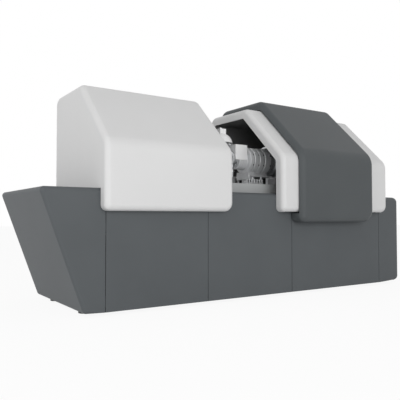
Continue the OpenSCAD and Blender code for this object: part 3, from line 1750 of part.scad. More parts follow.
module scroll_pump() {
  half = 75;
  motor_len = 150;
  motor_r = 68;
  plate_end = 10;
  leg_d = 40;
  leg_h = 60;
  leg_in = 20;
  pipe_t = 1;
  y0 = foreline_y - half - motor_len + plate_end;
  color(satin) {
    across(sample_x, scroll_z, foreline_y - half, foreline_y + half, scroll_r);
    across(sample_x, scroll_z, foreline_y - half - motor_len, foreline_y - half + e, motor_r);
    translate([sample_x - scroll_r, y0, floor_z]) cube([2 * scroll_r, foreline_y + half - y0, base_plate_t]);
    for (y = [y0 + plate_end, foreline_y - leg_in]) {
      translate([sample_x - scroll_r / 2, y, floor_z]) cube([scroll_r, leg_d, leg_h]);
    }
    translate([sample_x, foreline_y, scroll_z]) cylinder(r = foreline_r + pipe_t, h = scroll_top - scroll_z);
    translate([sample_x, foreline_y, scroll_top - foreline_flange_t])
      cylinder(r = foreline_r + foreline_flange_w, h = foreline_flange_t);
  }
}

module electronics_crates() {
  foot_w = 40;
  foot_in = 30;
  slots = 8;
  slot_in = 40;
  slot_w = 28;
  slot_d = 4;
  x0 = (post_x[0] + post_x[1] + tube_w - crate_w) / 2;
  y0 = (y_front + y_back - crate_d) / 2;
  slot_pitch = (crate_w - 2 * slot_in) / slots;
  color(metal) for (i = [0:crate_count - 1]) {
    translate([x0, y0, floor_z + i * (crate_h + crate_foot_h)]) {
      translate([0, 0, crate_foot_h]) difference() {
        cube([crate_w, crate_d, crate_h]);
        for (k = [0:slots - 1]) {
          translate([slot_in + k * slot_pitch, crate_d - slot_d, crate_h / 4])
            cube([slot_w, slot_d + cut, crate_h / 2]);
        }
      }
      for (x = [foot_in, crate_w - foot_in - foot_w]) {
        for (y = [foot_in, crate_d - foot_in - foot_w])
          translate([x, y, 0]) cube([foot_w, foot_w, crate_foot_h + e]);
      }
    }
  }
}

frame_front_side();
frame_rear_side();
frame_cross_tubes();
levelling_feet();
prow_cover();
front_panel_left();
front_panel_middle();
front_panel_right();
tail_cover();
rear_panel_left();
rear_panel_middle();
rear_panel_right();
service_inlets();
fan_left();
fan_right();
deck_plate();
vibration_isolators();
optical_table();
source_hood();
source_hood_liner();
detector_hood();
detector_hood_liner();
access_hood();
hood_rails();
hood_carriages();
high_voltage_tank();
accelerator_tube();
gun_chamber();
gun_ion_pump();
gun_gate_valve();
condenser_lens_first();
aperture_barrel();
aperture_rod();
aperture_knob();
condenser_lens_second();
sample_chamber();
chamber_window();
goniometer_base();
goniometer_rotor();
drive_housing();
drive_pinion();
stage_x_slide();
stage_y_slide();
loading_head();
sample_rod();
objective_lens();
projector_lens_1();
projector_lens_2();
projector_lens_3();
projector_lens_4();
lens_cradle();
lens_supply();
detector_vessel();
beam_stop_housing();
beam_stop_rod();
detector_camera();
column_saddles();
turbo_pump();
scroll_pump();
electronics_crates();
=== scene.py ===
import math
import bmesh
import bpy
from mathutils import Matrix, Vector


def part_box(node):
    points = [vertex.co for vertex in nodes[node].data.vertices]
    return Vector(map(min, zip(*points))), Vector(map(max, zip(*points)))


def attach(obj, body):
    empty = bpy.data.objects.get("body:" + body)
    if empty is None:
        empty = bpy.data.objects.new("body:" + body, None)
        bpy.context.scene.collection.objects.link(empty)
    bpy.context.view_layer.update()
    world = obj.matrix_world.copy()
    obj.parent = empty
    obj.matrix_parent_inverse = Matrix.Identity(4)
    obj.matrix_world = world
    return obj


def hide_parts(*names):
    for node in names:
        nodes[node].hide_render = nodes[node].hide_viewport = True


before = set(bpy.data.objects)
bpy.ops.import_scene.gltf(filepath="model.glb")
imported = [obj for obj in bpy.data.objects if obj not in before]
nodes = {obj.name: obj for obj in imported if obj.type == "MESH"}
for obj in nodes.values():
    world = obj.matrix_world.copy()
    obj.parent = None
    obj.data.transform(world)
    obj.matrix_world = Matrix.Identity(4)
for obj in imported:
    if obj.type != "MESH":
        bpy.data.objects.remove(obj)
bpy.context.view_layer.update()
scene = bpy.context.scene
print("frame loaded")

# camera, solved from the photo's straight edges
cameraLook = {
    "place": (-2.455, -3.291, 0.5995),
    "tilt": 91.885,     # degrees from straight down
    "turn": -33.55,     # degrees about Z, from +Y
    "lens": 45.77,
    "sensor": 36.0,
}
cameraData = bpy.data.cameras.new("photoCamera")
cameraData.lens = cameraLook["lens"]
cameraData.sensor_width = cameraLook["sensor"]
cameraData.clip_end = 100.0
camera = bpy.data.objects.new("photoCamera", cameraData)
camera.location = cameraLook["place"]
camera.rotation_euler = (math.radians(cameraLook["tilt"]), 0.0, math.radians(cameraLook["turn"]))
scene.collection.objects.link(camera)
scene.camera = camera
scene.view_settings.view_transform = "Standard"

# soft studio light: an even white surround, a broad panel in front and a weaker one at the left
studio = {
    "surround": 0.45,
    "front": {"place": (-1.2, -6.5, 1.9), "aim": (0.0, 0.0, 0.9), "size": (7.0, 3.2), "power": 176.0},
    "left": {"place": (-6.5, -1.5, 2.4), "aim": (-0.5, 0.0, 0.9), "size": (4.0, 3.0), "power": 92.0},
    "floorHalf": 30.0,
    "floorPale": 0.92,    # share of the background's white that the camera sees on the floor
}


def addMath(tree, operation, first, second=None):
    node = tree.nodes.new("ShaderNodeMath")
    node.operation = operation
    for socket, value in zip(node.inputs, (first, second)):
        if value is None:
            continue
        if isinstance(value, (int, float)):
            socket.default_value = value
        else:
            tree.links.new(value, socket)
    return node.outputs[0]


def seenRays(tree):
    # the rays that see the plain white background: to the camera, in metal and through glass
    path = tree.nodes.new("ShaderNodeLightPath")
    mirrored = addMath(tree, "MAXIMUM", path.outputs["Is Glossy Ray"], path.outputs["Is Transmission Ray"])
    return addMath(tree, "MAXIMUM", path.outputs["Is Camera Ray"], mirrored)


def makeWorld(strength):
    world = bpy.data.worlds.new("studioSurround")
    scene.world = world
    world.use_nodes = True
    tree = world.node_tree
    tree.nodes.clear()
    output = tree.nodes.new("ShaderNodeOutputWorld")
    lit = tree.nodes.new("ShaderNodeBackground")
    seen = tree.nodes.new("ShaderNodeBackground")
    for background, level in ((lit, strength), (seen, 1.0)):
        background.inputs["Color"].default_value = (1.0, 1.0, 1.0, 1.0)
        background.inputs["Strength"].default_value = level
    mix = tree.nodes.new("ShaderNodeMixShader")
    tree.links.new(seenRays(tree), mix.inputs[0])
    tree.links.new(lit.outputs[0], mix.inputs[1])
    tree.links.new(seen.outputs[0], mix.inputs[2])
    tree.links.new(mix.outputs[0], output.inputs["Surface"])


def makeLight(name, spec):
    data = bpy.data.lights.new(name, "AREA")
    data.shape = "RECTANGLE"
    data.size, data.size_y = spec["size"]
    data.energy = spec["power"]
    light = bpy.data.objects.new(name, data)
    light.location = spec["place"]
    aim = Vector(spec["aim"]) - Vector(spec["place"])
    light.rotation_euler = aim.to_track_quat("-Z", "Y").to_euler()
    scene.collection.objects.link(light)


makeWorld(studio["surround"])
makeLight("frontPanelLight", studio["front"])
makeLight("leftPanelLight", studio["left"])
print("camera and light made")


# materials

def startMaterial(name):
    material = bpy.data.materials.new(name)
    material.use_nodes = True
    tree = material.node_tree
    shader = next(n for n in tree.nodes if n.type == "BSDF_PRINCIPLED")
    coords = tree.nodes.new("ShaderNodeTexCoord")
    return material, tree, shader, coords.outputs["Object"]


def addNoise(tree, vector, scale, detail=3.0):
    node = tree.nodes.new("ShaderNodeTexNoise")
    node.inputs["Scale"].default_value = scale
    node.inputs["Detail"].default_value = detail
    tree.links.new(vector, node.inputs["Vector"])
    return node.outputs["Fac"]


noiseSpan = (0.3, 0.7)    # where most of a noise texture's values lie


def addRange(tree, value, low, high):
    node = tree.nodes.new("ShaderNodeMapRange")
    node.inputs["From Min"].default_value, node.inputs["From Max"].default_value = noiseSpan
    node.inputs["To Min"].default_value = low
    node.inputs["To Max"].default_value = high
    tree.links.new(value, node.inputs["Value"])
    return node.outputs["Result"]


def addMix(tree, factor, first, second):
    node = tree.nodes.new("ShaderNodeMix")
    node.data_type = "RGBA"
    tree.links.new(factor, node.inputs[0])
    for socket, value in ((node.inputs[6], first), (node.inputs[7], second)):
        if isinstance(value, tuple):
            socket.default_value = (*value, 1.0)
        else:
            tree.links.new(value, socket)
    return node.outputs[2]


def scaled(colour, factor):
    return tuple(min(1.0, c * factor) for c in colour)


def latheVector(tree, vector, axis, centre, rings):
    # distance along a lathe axis and distance from it, so that noise runs in rings
    shift = tree.nodes.new("ShaderNodeVectorMath")
    shift.operation = "SUBTRACT"
    shift.inputs[1].default_value = centre
    tree.links.new(vector, shift.inputs[0])
    parts = tree.nodes.new("ShaderNodeSeparateXYZ")
    tree.links.new(shift.outputs[0], parts.inputs[0])
    others = [i for i in range(3) if i != axis]
    squares = [addMath(tree, "MULTIPLY", parts.outputs[i], parts.outputs[i]) for i in others]
    radius = addMath(tree, "SQRT", addMath(tree, "ADD", squares[0], squares[1]))
    join = tree.nodes.new("ShaderNodeCombineXYZ")
    tree.links.new(addMath(tree, "MULTIPLY", parts.outputs[axis], rings), join.inputs[0])
    tree.links.new(addMath(tree, "MULTIPLY", radius, rings), join.inputs[1])
    return join.outputs[0]


grain = {"depth": 0.0003, "coatRough": 0.25}


def makeFinish(name, look):
    material, tree, shader, vector = startMaterial(name)
    colour, shade = look["colour"], look["shade"]
    rough, roughSpan = look["rough"], look["roughSpan"]
    if "lathe" in look:
        vector = latheVector(tree, vector, *look["lathe"])
    elif "stretch" in look:
        mapping = tree.nodes.new("ShaderNodeMapping")
        mapping.inputs["Scale"].default_value = look["stretch"]
        tree.links.new(vector, mapping.inputs["Vector"])
        vector = mapping.outputs[0]
    broad = addNoise(tree, vector, look["broad"])
    fine = addNoise(tree, vector, look["fine"], 2.0)
    tone = addRange(tree, broad, 0.0, 1.0)
    tinted = addMix(tree, tone, scaled(colour, 1 - shade), scaled(colour, 1 + shade))
    tree.links.new(tinted, shader.inputs["Base Color"])
    tree.links.new(addRange(tree, fine, rough - roughSpan, rough + roughSpan), shader.inputs["Roughness"])
    bump = tree.nodes.new("ShaderNodeBump")
    bump.inputs["Strength"].default_value = look["bump"]
    bump.inputs["Distance"].default_value = grain["depth"]
    tree.links.new(fine, bump.inputs["Height"])
    tree.links.new(bump.outputs[0], shader.inputs["Normal"])
    shader.inputs["Metallic"].default_value = look.get("metal", 0.0)
    shader.inputs["Specular IOR Level"].default_value = look.get("gloss", 0.5)
    shader.inputs["Coat Weight"].default_value = look.get("coat", 0.0)
    shader.inputs["Coat Roughness"].default_value = grain["coatRough"]
    return material


def boxMiddle(node):
    low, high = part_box(node)
    return (low + high) / 2


beamLine = (0.0, *boxMiddle("projector_lens_1")[1:])       # the column's axis, along X
sampleLine = (*boxMiddle("goniometer_rotor")[:2], 0.0)     # the goniometer's axis, upright
looks = {
    "cabinetPaint": {"colour": (0.100, 0.109, 0.115), "rough": 0.50, "roughSpan": 0.05, "shade": 0.035,
                     "broad": 3.0, "fine": 650.0, "bump": 0.10, "gloss": 0.15},
    "darkMoulding": {"colour": (0.086, 0.094, 0.098), "rough": 0.46, "roughSpan": 0.05, "shade": 0.03,
                     "broad": 2.5, "fine": 420.0, "bump": 0.06, "gloss": 0.15},
    "whiteMoulding": {"colour": (0.70, 0.70, 0.70), "rough": 0.38, "roughSpan": 0.05, "shade": 0.012,
                      "broad": 2.5, "fine": 420.0, "bump": 0.05, "gloss": 0.2},
    "whiteCase": {"colour": (0.88, 0.88, 0.88), "rough": 0.4, "roughSpan": 0.05, "shade": 0.02,
                  "broad": 9.0, "fine": 900.0, "bump": 0.06},
    "darkLiner": {"colour": (0.160, 0.160, 0.161), "rough": 0.62, "roughSpan": 0.08, "shade": 0.10,
                  "broad": 4.0, "fine": 700.0, "bump": 0.12},
    "framePaint": {"colour": (0.055, 0.062, 0.068), "rough": 0.5, "roughSpan": 0.06, "shade": 0.06,
                   "broad": 8.0, "fine": 800.0, "bump": 0.12},
    "darkCasting": {"colour": (0.045, 0.050, 0.055), "rough": 0.6, "roughSpan": 0.08, "shade": 0.12,
                    "broad": 14.0, "fine": 350.0, "bump": 0.25},
    "rubber": {"colour": (0.013, 0.013, 0.014), "rough": 0.75, "roughSpan": 0.06, "shade": 0.15,
               "broad": 25.0, "fine": 900.0, "bump": 0.15},
    "greyPlastic": {"colour": (0.30, 0.30, 0.31), "rough": 0.5, "roughSpan": 0.08, "shade": 0.08,
                    "broad": 20.0, "fine": 1200.0, "bump": 0.12},
    "castPlate": {"colour": (0.66, 0.67, 0.68), "rough": 0.45, "roughSpan": 0.08, "shade": 0.06,
                  "metal": 0.2, "broad": 12.0, "fine": 200.0, "bump": 0.12},
    "blackPlastic": {"colour": (0.02, 0.021, 0.022), "rough": 0.5, "roughSpan": 0.08, "shade": 0.1,
                     "broad": 20.0, "fine": 1200.0, "bump": 0.12},
    "ceramic": {"colour": (0.82, 0.80, 0.74), "rough": 0.25, "roughSpan": 0.05, "shade": 0.03,
                "broad": 12.0, "fine": 500.0, "bump": 0.03, "coat": 0.5},
    "turnedLens": {"colour": (0.74, 0.75, 0.76), "rough": 0.46, "roughSpan": 0.08, "shade": 0.08,
                   "metal": 0.25, "broad": 1.0, "fine": 6.0, "bump": 0.30, "lathe": (0, beamLine, 130.0)},
    "turnedSteel": {"colour": (0.58, 0.59, 0.60), "rough": 0.30, "roughSpan": 0.08, "shade": 0.08,
                    "metal": 0.9, "broad": 1.0, "fine": 5.0, "bump": 0.22, "lathe": (0, beamLine, 120.0)},
    "turnedUpright": {"colour": (0.58, 0.59, 0.60), "rough": 0.30, "roughSpan": 0.08, "shade": 0.08,
                      "metal": 0.9, "broad": 1.0, "fine": 5.0, "bump": 0.22, "lathe": (2, sampleLine, 140.0)},
    "milledPlate": {"colour": (0.60, 0.61, 0.62), "rough": 0.36, "roughSpan": 0.08, "shade": 0.07,
                    "metal": 0.85, "broad": 12.0, "fine": 60.0, "bump": 0.12, "stretch": (1.0, 12.0, 12.0)},
    "brushedSteel": {"colour": (0.56, 0.57, 0.58), "rough": 0.32, "roughSpan": 0.08, "shade": 0.06,
                     "metal": 0.95, "broad": 9.0, "fine": 45.0, "bump": 0.10, "stretch": (1.0, 14.0, 14.0)},
    "blackScrew": {"colour": (0.03, 0.03, 0.032), "rough": 0.35, "roughSpan": 0.08, "shade": 0.1,
                   "metal": 0.6, "broad": 60.0, "fine": 1500.0, "bump": 0.08},
    "steelScrew": {"colour": (0.62, 0.62, 0.63), "rough": 0.3, "roughSpan": 0.08, "shade": 0.08,
                   "metal": 1.0, "broad": 60.0, "fine": 1500.0, "bump": 0.08},
    "studioFloor": {"colour": (0.93, 0.93, 0.93), "rough": 0.8, "roughSpan": 0.05, "shade": 0.004,
                    "broad": 1.0, "fine": 60.0, "bump": 0.0},
}
finishes = {name: makeFinish(name, look) for name, look in looks.items()}


windowGlass = {
    "tint": (0.88, 0.95, 0.93, 1.0),
    "clear": 0.92,
    "ior": 1.6,
    "cloud": 40.0,
    "rough": (0.02, 0.06),
}


def makeGlass():
    material, tree, shader, vector = startMaterial("windowGlass")
    shader.inputs["Base Color"].default_value = windowGlass["tint"]
    shader.inputs["Transmission Weight"].default_value = windowGlass["clear"]
    shader.inputs["IOR"].default_value = windowGlass["ior"]
    cloud = addNoise(tree, vector, windowGlass["cloud"])
    tree.links.new(addRange(tree, cloud, *windowGlass["rough"]), shader.inputs["Roughness"])
    return material


tableTop = {
    "pitch": 0.025,
    "hole": 0.0031,
    "shift": 200.5,     # pitches from the first hole to the origin, and half a pitch
    "upward": 0.9,      # how level a face has to be to count as the top
    "paint": (0.37, 0.38, 0.38),
    "shade": 0.04,
    "steel": (0.42, 0.43, 0.43),
    # painted shade: the near-black of the tapped holes, for the shade inside them
    "dark": (0.01, 0.01, 0.01),
    "broad": 5.0,
    "fine": 500.0,
    "rough": (0.38, 0.5),
}


def makeTableTop():
    # grey enamel with a steel upward face, and on it a grid of tapped holes painted near-black: painted
    # shade, standing in for the shade inside holes that have no depth
    material, tree, shader, vector = startMaterial("tableEnamel")
    parts = tree.nodes.new("ShaderNodeSeparateXYZ")
    tree.links.new(vector, parts.inputs[0])
    squares = []
    for i in range(2):
        steps = addMath(tree, "DIVIDE", parts.outputs[i], tableTop["pitch"])
        share = addMath(tree, "FRACT", addMath(tree, "ADD", steps, tableTop["shift"]))
        offset = addMath(tree, "MULTIPLY", addMath(tree, "SUBTRACT", share, 0.5), tableTop["pitch"])
        squares.append(addMath(tree, "MULTIPLY", offset, offset))
    reach = addMath(tree, "SQRT", addMath(tree, "ADD", squares[0], squares[1]))
    inHole = addMath(tree, "LESS_THAN", reach, tableTop["hole"])
    geometry = tree.nodes.new("ShaderNodeNewGeometry")
    normal = tree.nodes.new("ShaderNodeSeparateXYZ")
    tree.links.new(geometry.outputs["Normal"], normal.inputs[0])
    upward = addMath(tree, "GREATER_THAN", normal.outputs[2], tableTop["upward"])
    # painted shade: near-black inside each hole on the upward face
    dark = addMath(tree, "MULTIPLY", inHole, upward)
    broad = addRange(tree, addNoise(tree, vector, tableTop["broad"]), 0.0, 1.0)
    paint, shade = tableTop["paint"], tableTop["shade"]
    enamel = addMix(tree, broad, scaled(paint, 1 - shade), scaled(paint, 1 + shade))
    topped = addMix(tree, upward, enamel, tableTop["steel"])
    tree.links.new(addMix(tree, dark, topped, tableTop["dark"]), shader.inputs["Base Color"])
    fine = addNoise(tree, vector, tableTop["fine"])
    tree.links.new(addRange(tree, fine, *tableTop["rough"]), shader.inputs["Roughness"])
    return material


finishes["windowGlass"] = makeGlass()
finishes["tableEnamel"] = makeTableTop()

projectorLenses = [f"projector_lens_{i}" for i in range(1, 5)]
places = ("left", "middle", "right")
panels = {side: [f"{side}_panel_{place}" for place in places] for side in ("front", "rear")}
nodeFinish = {
    "cabinetPaint": [*panels["front"], *panels["rear"], "prow_cover", "tail_cover", "deck_plate"],
    "darkMoulding": ["access_hood"],
    "whiteMoulding": ["source_hood", "detector_hood"],
    "whiteCase": ["loading_head", "drive_housing", "detector_camera"],
    "darkLiner": ["source_hood_liner", "detector_hood_liner"],
    "framePaint": ["frame_front_side", "frame_rear_side", "frame_cross_tubes"],
    "darkCasting": ["scroll_pump", "gun_ion_pump"],
    "rubber": ["vibration_isolators"],
    "blackPlastic": ["levelling_feet", "fan_left", "fan_right", "aperture_knob"],
    "greyPlastic": ["lens_supply"],
    "castPlate": ["lens_cradle"],
    "ceramic": ["accelerator_tube"],
    "turnedLens": [*projectorLenses, "objective_lens", "condenser_lens_first", "condenser_lens_second"],
    "turnedSteel": ["high_voltage_tank", "gun_chamber", "detector_vessel", "aperture_barrel"],
    "turnedUpright": ["sample_chamber", "goniometer_base", "goniometer_rotor", "sample_rod"],
    "milledPlate": ["column_saddles", "stage_x_slide", "stage_y_slide", "electronics_crates"],
    "brushedSteel": ["service_inlets", "hood_rails", "hood_carriages", "gun_gate_valve", "aperture_rod",
                     "drive_pinion", "beam_stop_housing", "beam_stop_rod", "turbo_pump"],
    "windowGlass": ["chamber_window"],
    "tableEnamel": ["optical_table"],
}
for finish, names in nodeFinish.items():
    for name in names:
        data = nodes[name].data
        if not data.materials:
            data.materials.append(finishes[finish])
        for slot in nodes[name].material_slots:
            slot.material = finishes[finish]
print("materials made")


# making pieces

def meshObject(name, bm, finish):
    bmesh.ops.recalc_face_normals(bm, faces=bm.faces)
    mesh = bpy.data.meshes.new(name)
    bm.to_mesh(mesh)
    bm.free()
    mesh.materials.append(finishes[finish])
    piece = bpy.data.objects.new(name, mesh)
    scene.collection.objects.link(piece)
    return piece


def settle(piece, body):
    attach(piece, body)
    return piece


def bakeModifiers(piece):
    graph = bpy.context.evaluated_depsgraph_get()
    shaped = piece.evaluated_get(graph)
    made = bpy.data.meshes.new_from_object(shaped, preserve_all_data_layers=True, depsgraph=graph)
    piece.modifiers.clear()
    old = piece.data
    piece.data = made
    made.name = piece.name
    bpy.data.meshes.remove(old)


sharpFrom = 32.0    # degrees between faces whose edge stays sharp


def softenShading(piece):
    # smooth across the fillets, flat across the flats
    piece.data.shade_smooth()
    piece.data.set_sharp_from_angle(angle=math.radians(sharpFrom))
    piece.modifiers.new("weighted", "WEIGHTED_NORMAL").keep_sharp = True
    bakeModifiers(piece)


def carve(piece, cutters):
    for cutter in cutters:
        modifier = piece.modifiers.new("cut", "BOOLEAN")
        modifier.operation = "DIFFERENCE"
        modifier.solver = "EXACT"
        modifier.object = cutter
        bakeModifiers(piece)
        mesh = cutter.data
        bpy.data.objects.remove(cutter)
        bpy.data.meshes.remove(mesh)


def addBox(bm, low, high):
    low, high = Vector(low), Vector(high)
    block = bmesh.ops.create_cube(bm, size=1.0)["verts"]
    bmesh.ops.scale(bm, vec=high - low, verts=block)
    bmesh.ops.translate(bm, vec=(low + high) / 2, verts=block)


def boxObject(name, low, high):
    bm = bmesh.new()
    addBox(bm, low, high)
    return meshObject(name, bm, "whiteCase")


# points for the rounded covers, which a hull then wraps
hullDetail = {
    "disc": (80, 16),          # steps round a disc and round its rim
    "ball": (64, 16),
    "tailBall": (96, 32),
    "section": 64,
    "edge": 96,
    "merge": 0.00002,
    "flat": 0.3,               # degrees between faces that become one
}


def rimPoints(centre, axis, radius, rim, detail):
    # the outside of a disc with a rounded rim, its axis along X (0) or Y (1)
    steps, rimSteps = hullDetail[detail]
    points = []
    for j in range(rimSteps + 1):
        tilt = math.pi * (j / rimSteps - 0.5)
        reach = radius - rim + rim * math.cos(tilt)
        side = rim * math.sin(tilt)
        for i in range(steps):
            turn = 2 * math.pi * i / steps
            across, up = reach * math.cos(turn), reach * math.sin(turn)
            offset = (side, across, up) if axis == 0 else (across, side, up)
            points.append(Vector(centre) + Vector(offset))
    return points


def circlePoints(x, y, z, radius, detail):
    steps = hullDetail[detail]
    turns = [2 * math.pi * i / steps for i in range(steps)]
    return [Vector((x, y + radius * math.cos(turn), z + radius * math.sin(turn))) for turn in turns]


def hullObject(name, points, finish):
    bm = bmesh.new()
    for point in points:
        bm.verts.new(point)
    result = bmesh.ops.convex_hull(bm, input=bm.verts)
    spare = {v for v in result["geom_interior"] + result["geom_unused"] if isinstance(v, bmesh.types.BMVert)}
    bmesh.ops.delete(bm, geom=list(spare), context="VERTS")
    bmesh.ops.remove_doubles(bm, verts=bm.verts, dist=hullDetail["merge"])
    bmesh.ops.dissolve_limit(bm, angle_limit=math.radians(hullDetail["flat"]), verts=bm.verts, edges=bm.edges)
    return meshObject(name, bm, finish)


# hoods: the same rounded forms as the solids, with finer fillets

hoodForms = {
    "white": {
        "slope": 43.8,        # degrees
        "crease": 0.105,
        "ridge": 0.070,
        "skirt": 0.062,
        "rim": 0.038,
        "wall": 0.006,
        "creaseZ": 1.058,
        "gap": 0.001,         # between the skirt's ledge and the cabinet
        "mouth": 0.012,       # half the length of the cut that opens its end
        "slotEnd": 0.003,     # the slot for the access hood's brackets
        "slotDepth": 0.054,
    },
    "dark": {
        "slope": 43.8,
        "crease": 0.150,
        "ridge": 0.090,
        "skirt": 0.100,
        "rim": 0.045,
        "wall": 0.006,
        "creaseZ": 1.091,
        "gap": 0.008,         # all round the white hoods
        "frontGap": 0.008,
        "deckGap": 0.024,
    },
}
smallestFillet = 0.008
graze = 0.001                 # how far a cut runs past the face that it opens
far = 0.5                     # how far a cut runs past the hoods
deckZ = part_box("deck_plate")[1].z
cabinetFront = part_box("front_panel_left")[0].y
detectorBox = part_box("detector_hood")


def creaseCentre(form, front, radius):
    slope = math.radians(form["slope"])
    return front + radius, form["creaseZ"] + radius * (math.sin(slope) - 1) / math.cos(slope)


def ridgeCentre(form, front, roof, radius):
    slope = math.radians(form["slope"])
    rise = roof - radius - form["creaseZ"]
    return front + (rise + radius / math.cos(slope)) / math.tan(slope), roof - radius


def hoodBody(name, form, low, high, inset, finish):
    rim, skirt = form["rim"], form["skirt"]
    crease = creaseCentre(form, low.y, form["crease"])
    ridge = ridgeCentre(form, low.y, high.z, form["ridge"])
    corner = (high.y - form["ridge"], high.z - form["ridge"])
    points = []
    for x in (low.x + rim, high.x - rim):
        for centre, radius in ((crease, form["crease"]), (ridge, form["ridge"]), (corner, form["ridge"])):
            points += rimPoints((x, *centre), 0, radius - inset, rim - inset, "disc")
    for y in (low.y + rim, high.y - rim):
        points += rimPoints((low.x + rim, y, low.z + rim), 0, rim - inset, rim - inset, "ball")
        points += rimPoints((high.x - skirt, y, low.z + skirt), 1, skirt - inset, rim - inset, "disc")
    return hullObject(name, points, finish)


def hoodPrism(name, form, ends, low, high, floor, inset):
    # a bar with the hood's section inset by a wall, for cutting openings
    creaseR = max(form["crease"], inset + smallestFillet)
    ridgeR = max(form["ridge"], inset + smallestFillet)
    circles = [(creaseCentre(form, low.y, creaseR), creaseR - inset),
               (ridgeCentre(form, low.y, high.z, ridgeR), ridgeR - inset),
               ((high.y - ridgeR, high.z - ridgeR), ridgeR - inset)]
    points = []
    for x in ends:
        for centre, radius in circles:
            points += circlePoints(x, *centre, radius, "section")
        points += [Vector((x, low.y + inset, floor)), Vector((x, high.y - inset, floor))]
    return hullObject(name, points, "darkLiner")


def whiteHood(name, node, openX):
    form = hoodForms["white"]
    low, high = (corner.copy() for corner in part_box(node))
    ledge = cabinetFront - form["gap"]
    piece = hoodBody(name, form, low, high, 0.0, "whiteMoulding")
    room = hoodBody("room", form, low, high, form["wall"], "whiteMoulding")
    base = boxObject("base", (low.x - far, ledge, low.z - far), (high.x + far, high.y + far, deckZ))
    mouth = hoodPrism("mouth", form, (openX - form["mouth"], openX + form["mouth"]), low, high, deckZ - graze,
                      ledge - low.y)
    cutters = [room, base, mouth]
    if openX == low.x:
        start = (low.x + form["rim"] + form["slotEnd"], cabinetFront - form["slotDepth"], low.z - far)
        end = (high.x - form["skirt"] - form["slotEnd"], cabinetFront, low.z + form["wall"] + graze)
        cutters.append(boxObject("slot", start, end))
    carve(piece, cutters)
    softenShading(piece)
    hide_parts(node)
    settle(piece, "cabinet")


def accessShell():
    form = hoodForms["dark"]
    low, high = (corner.copy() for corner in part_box("access_hood"))
    gap = form["gap"]
    piece = hoodBody("accessHoodShell", form, low, high, 0.0, "darkMoulding")
    room = hoodBody("room", form, low, high, form["wall"], "darkMoulding")
    base = boxObject("base", (low.x - far, cabinetFront - form["frontGap"], low.z - far),
                     (high.x + far, high.y + far, deckZ + form["deckGap"]))
    mouth = hoodPrism("mouth", hoodForms["white"], (low.x - far, high.x + far), *detectorBox,
                      detectorBox[0].z - gap, -gap)
    carve(piece, [room, base, mouth])
    softenShading(piece)
    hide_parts("access_hood")
    settle(piece, "hood")


whiteHood("sourceHoodShell", "source_hood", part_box("source_hood")[1].x)
whiteHood("detectorHoodShell", "detector_hood", detectorBox[0].x)
print("white hoods made")
accessShell()
print("access hood made")


# covers at the cabinet's ends, with finer fillets on the same outlines

coverForm = {"edge": 0.034, "wall": 0.004, "lip": 0.018, "past": 0.002}
prowForm = {"corner": 0.024, "lean": 0.255}
tailForm = {"corner": 0.045}


def openEnd(low, high, inset, ends):
    # the section where a cover meets the panels, rounded along its upper edges
    edge = coverForm["edge"]
    points = []
    for x in ends:
        for y in (low.y + edge, high.y - edge):
            points += circlePoints(x, y, high.z - edge, edge - inset, "edge")
        points += [Vector((x, y, low.z + inset)) for y in (low.y + inset, high.y - inset)]
    return points


def prowBody(name, low, high, inset, reach):
    corner = prowForm["corner"]
    points = openEnd(low, high, inset, (high.x - graze, high.x + reach))
    for y in (low.y + corner, high.y - corner):
        for x, z in ((low.x, high.z - corner), (low.x + prowForm["lean"], low.z + corner)):
            points += rimPoints((x + corner, y, z), 0, corner - inset, corner - inset, "ball")
    return hullObject(name, points, "cabinetPaint")


def tailBody(name, low, high, inset, reach):
    corner = tailForm["corner"]
    points = openEnd(low, high, inset, (low.x - reach, low.x + graze))
    for y in (low.y + corner, high.y - corner):
        for z in (low.z + corner, high.z - corner):
            points += rimPoints((high.x - corner, y, z), 0, corner - inset, corner - inset, "tailBall")
    return hullObject(name, points, "cabinetPaint")


def endCover(name, node, bodyMaker, underEnds, underTop):
    low, high = (corner.copy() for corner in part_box(node))
    lip = coverForm["lip"]
    piece = bodyMaker(name, low, high, 0.0, 0.0)
    room = bodyMaker("room", low, high, coverForm["wall"], coverForm["past"])
    under = boxObject("under", (underEnds[0], low.y + lip, low.z - graze),
                      (underEnds[1], high.y - lip, low.z + underTop))
    carve(piece, [room, under])
    softenShading(piece)
    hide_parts(node)
    settle(piece, "cabinet")


prowLow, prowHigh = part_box("prow_cover")
tailLow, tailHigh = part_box("tail_cover")
prowUnder = (prowLow.x + prowForm["lean"] + 2 * prowForm["corner"], prowHigh.x + coverForm["past"])
tailUnder = (tailLow.x - graze, tailHigh.x - tailForm["corner"])
endCover("prowShell", "prow_cover", prowBody, prowUnder, prowForm["corner"] - graze)
endCover("tailShell", "tail_cover", tailBody, tailUnder, 2 * coverForm["wall"])
print("prow and tail covers made")


# screws and small fittings

socketScrew = {
    "sides": 24,
    "straight": 0.9,    # share of the head's height below its chamfer
    "chamfer": 0.92,    # radius at the top, as a share of the head's radius
    "socket": 0.46,     # half the width of the hexagon, likewise
    "floor": 0.45,      # height of the socket's floor, as a share of the head's
}


def raiseFace(bm, face, height):
    raised = bmesh.ops.extrude_discrete_faces(bm, faces=[face])["faces"][0]
    bmesh.ops.translate(bm, vec=(0.0, 0.0, height), verts=raised.verts)
    return raised


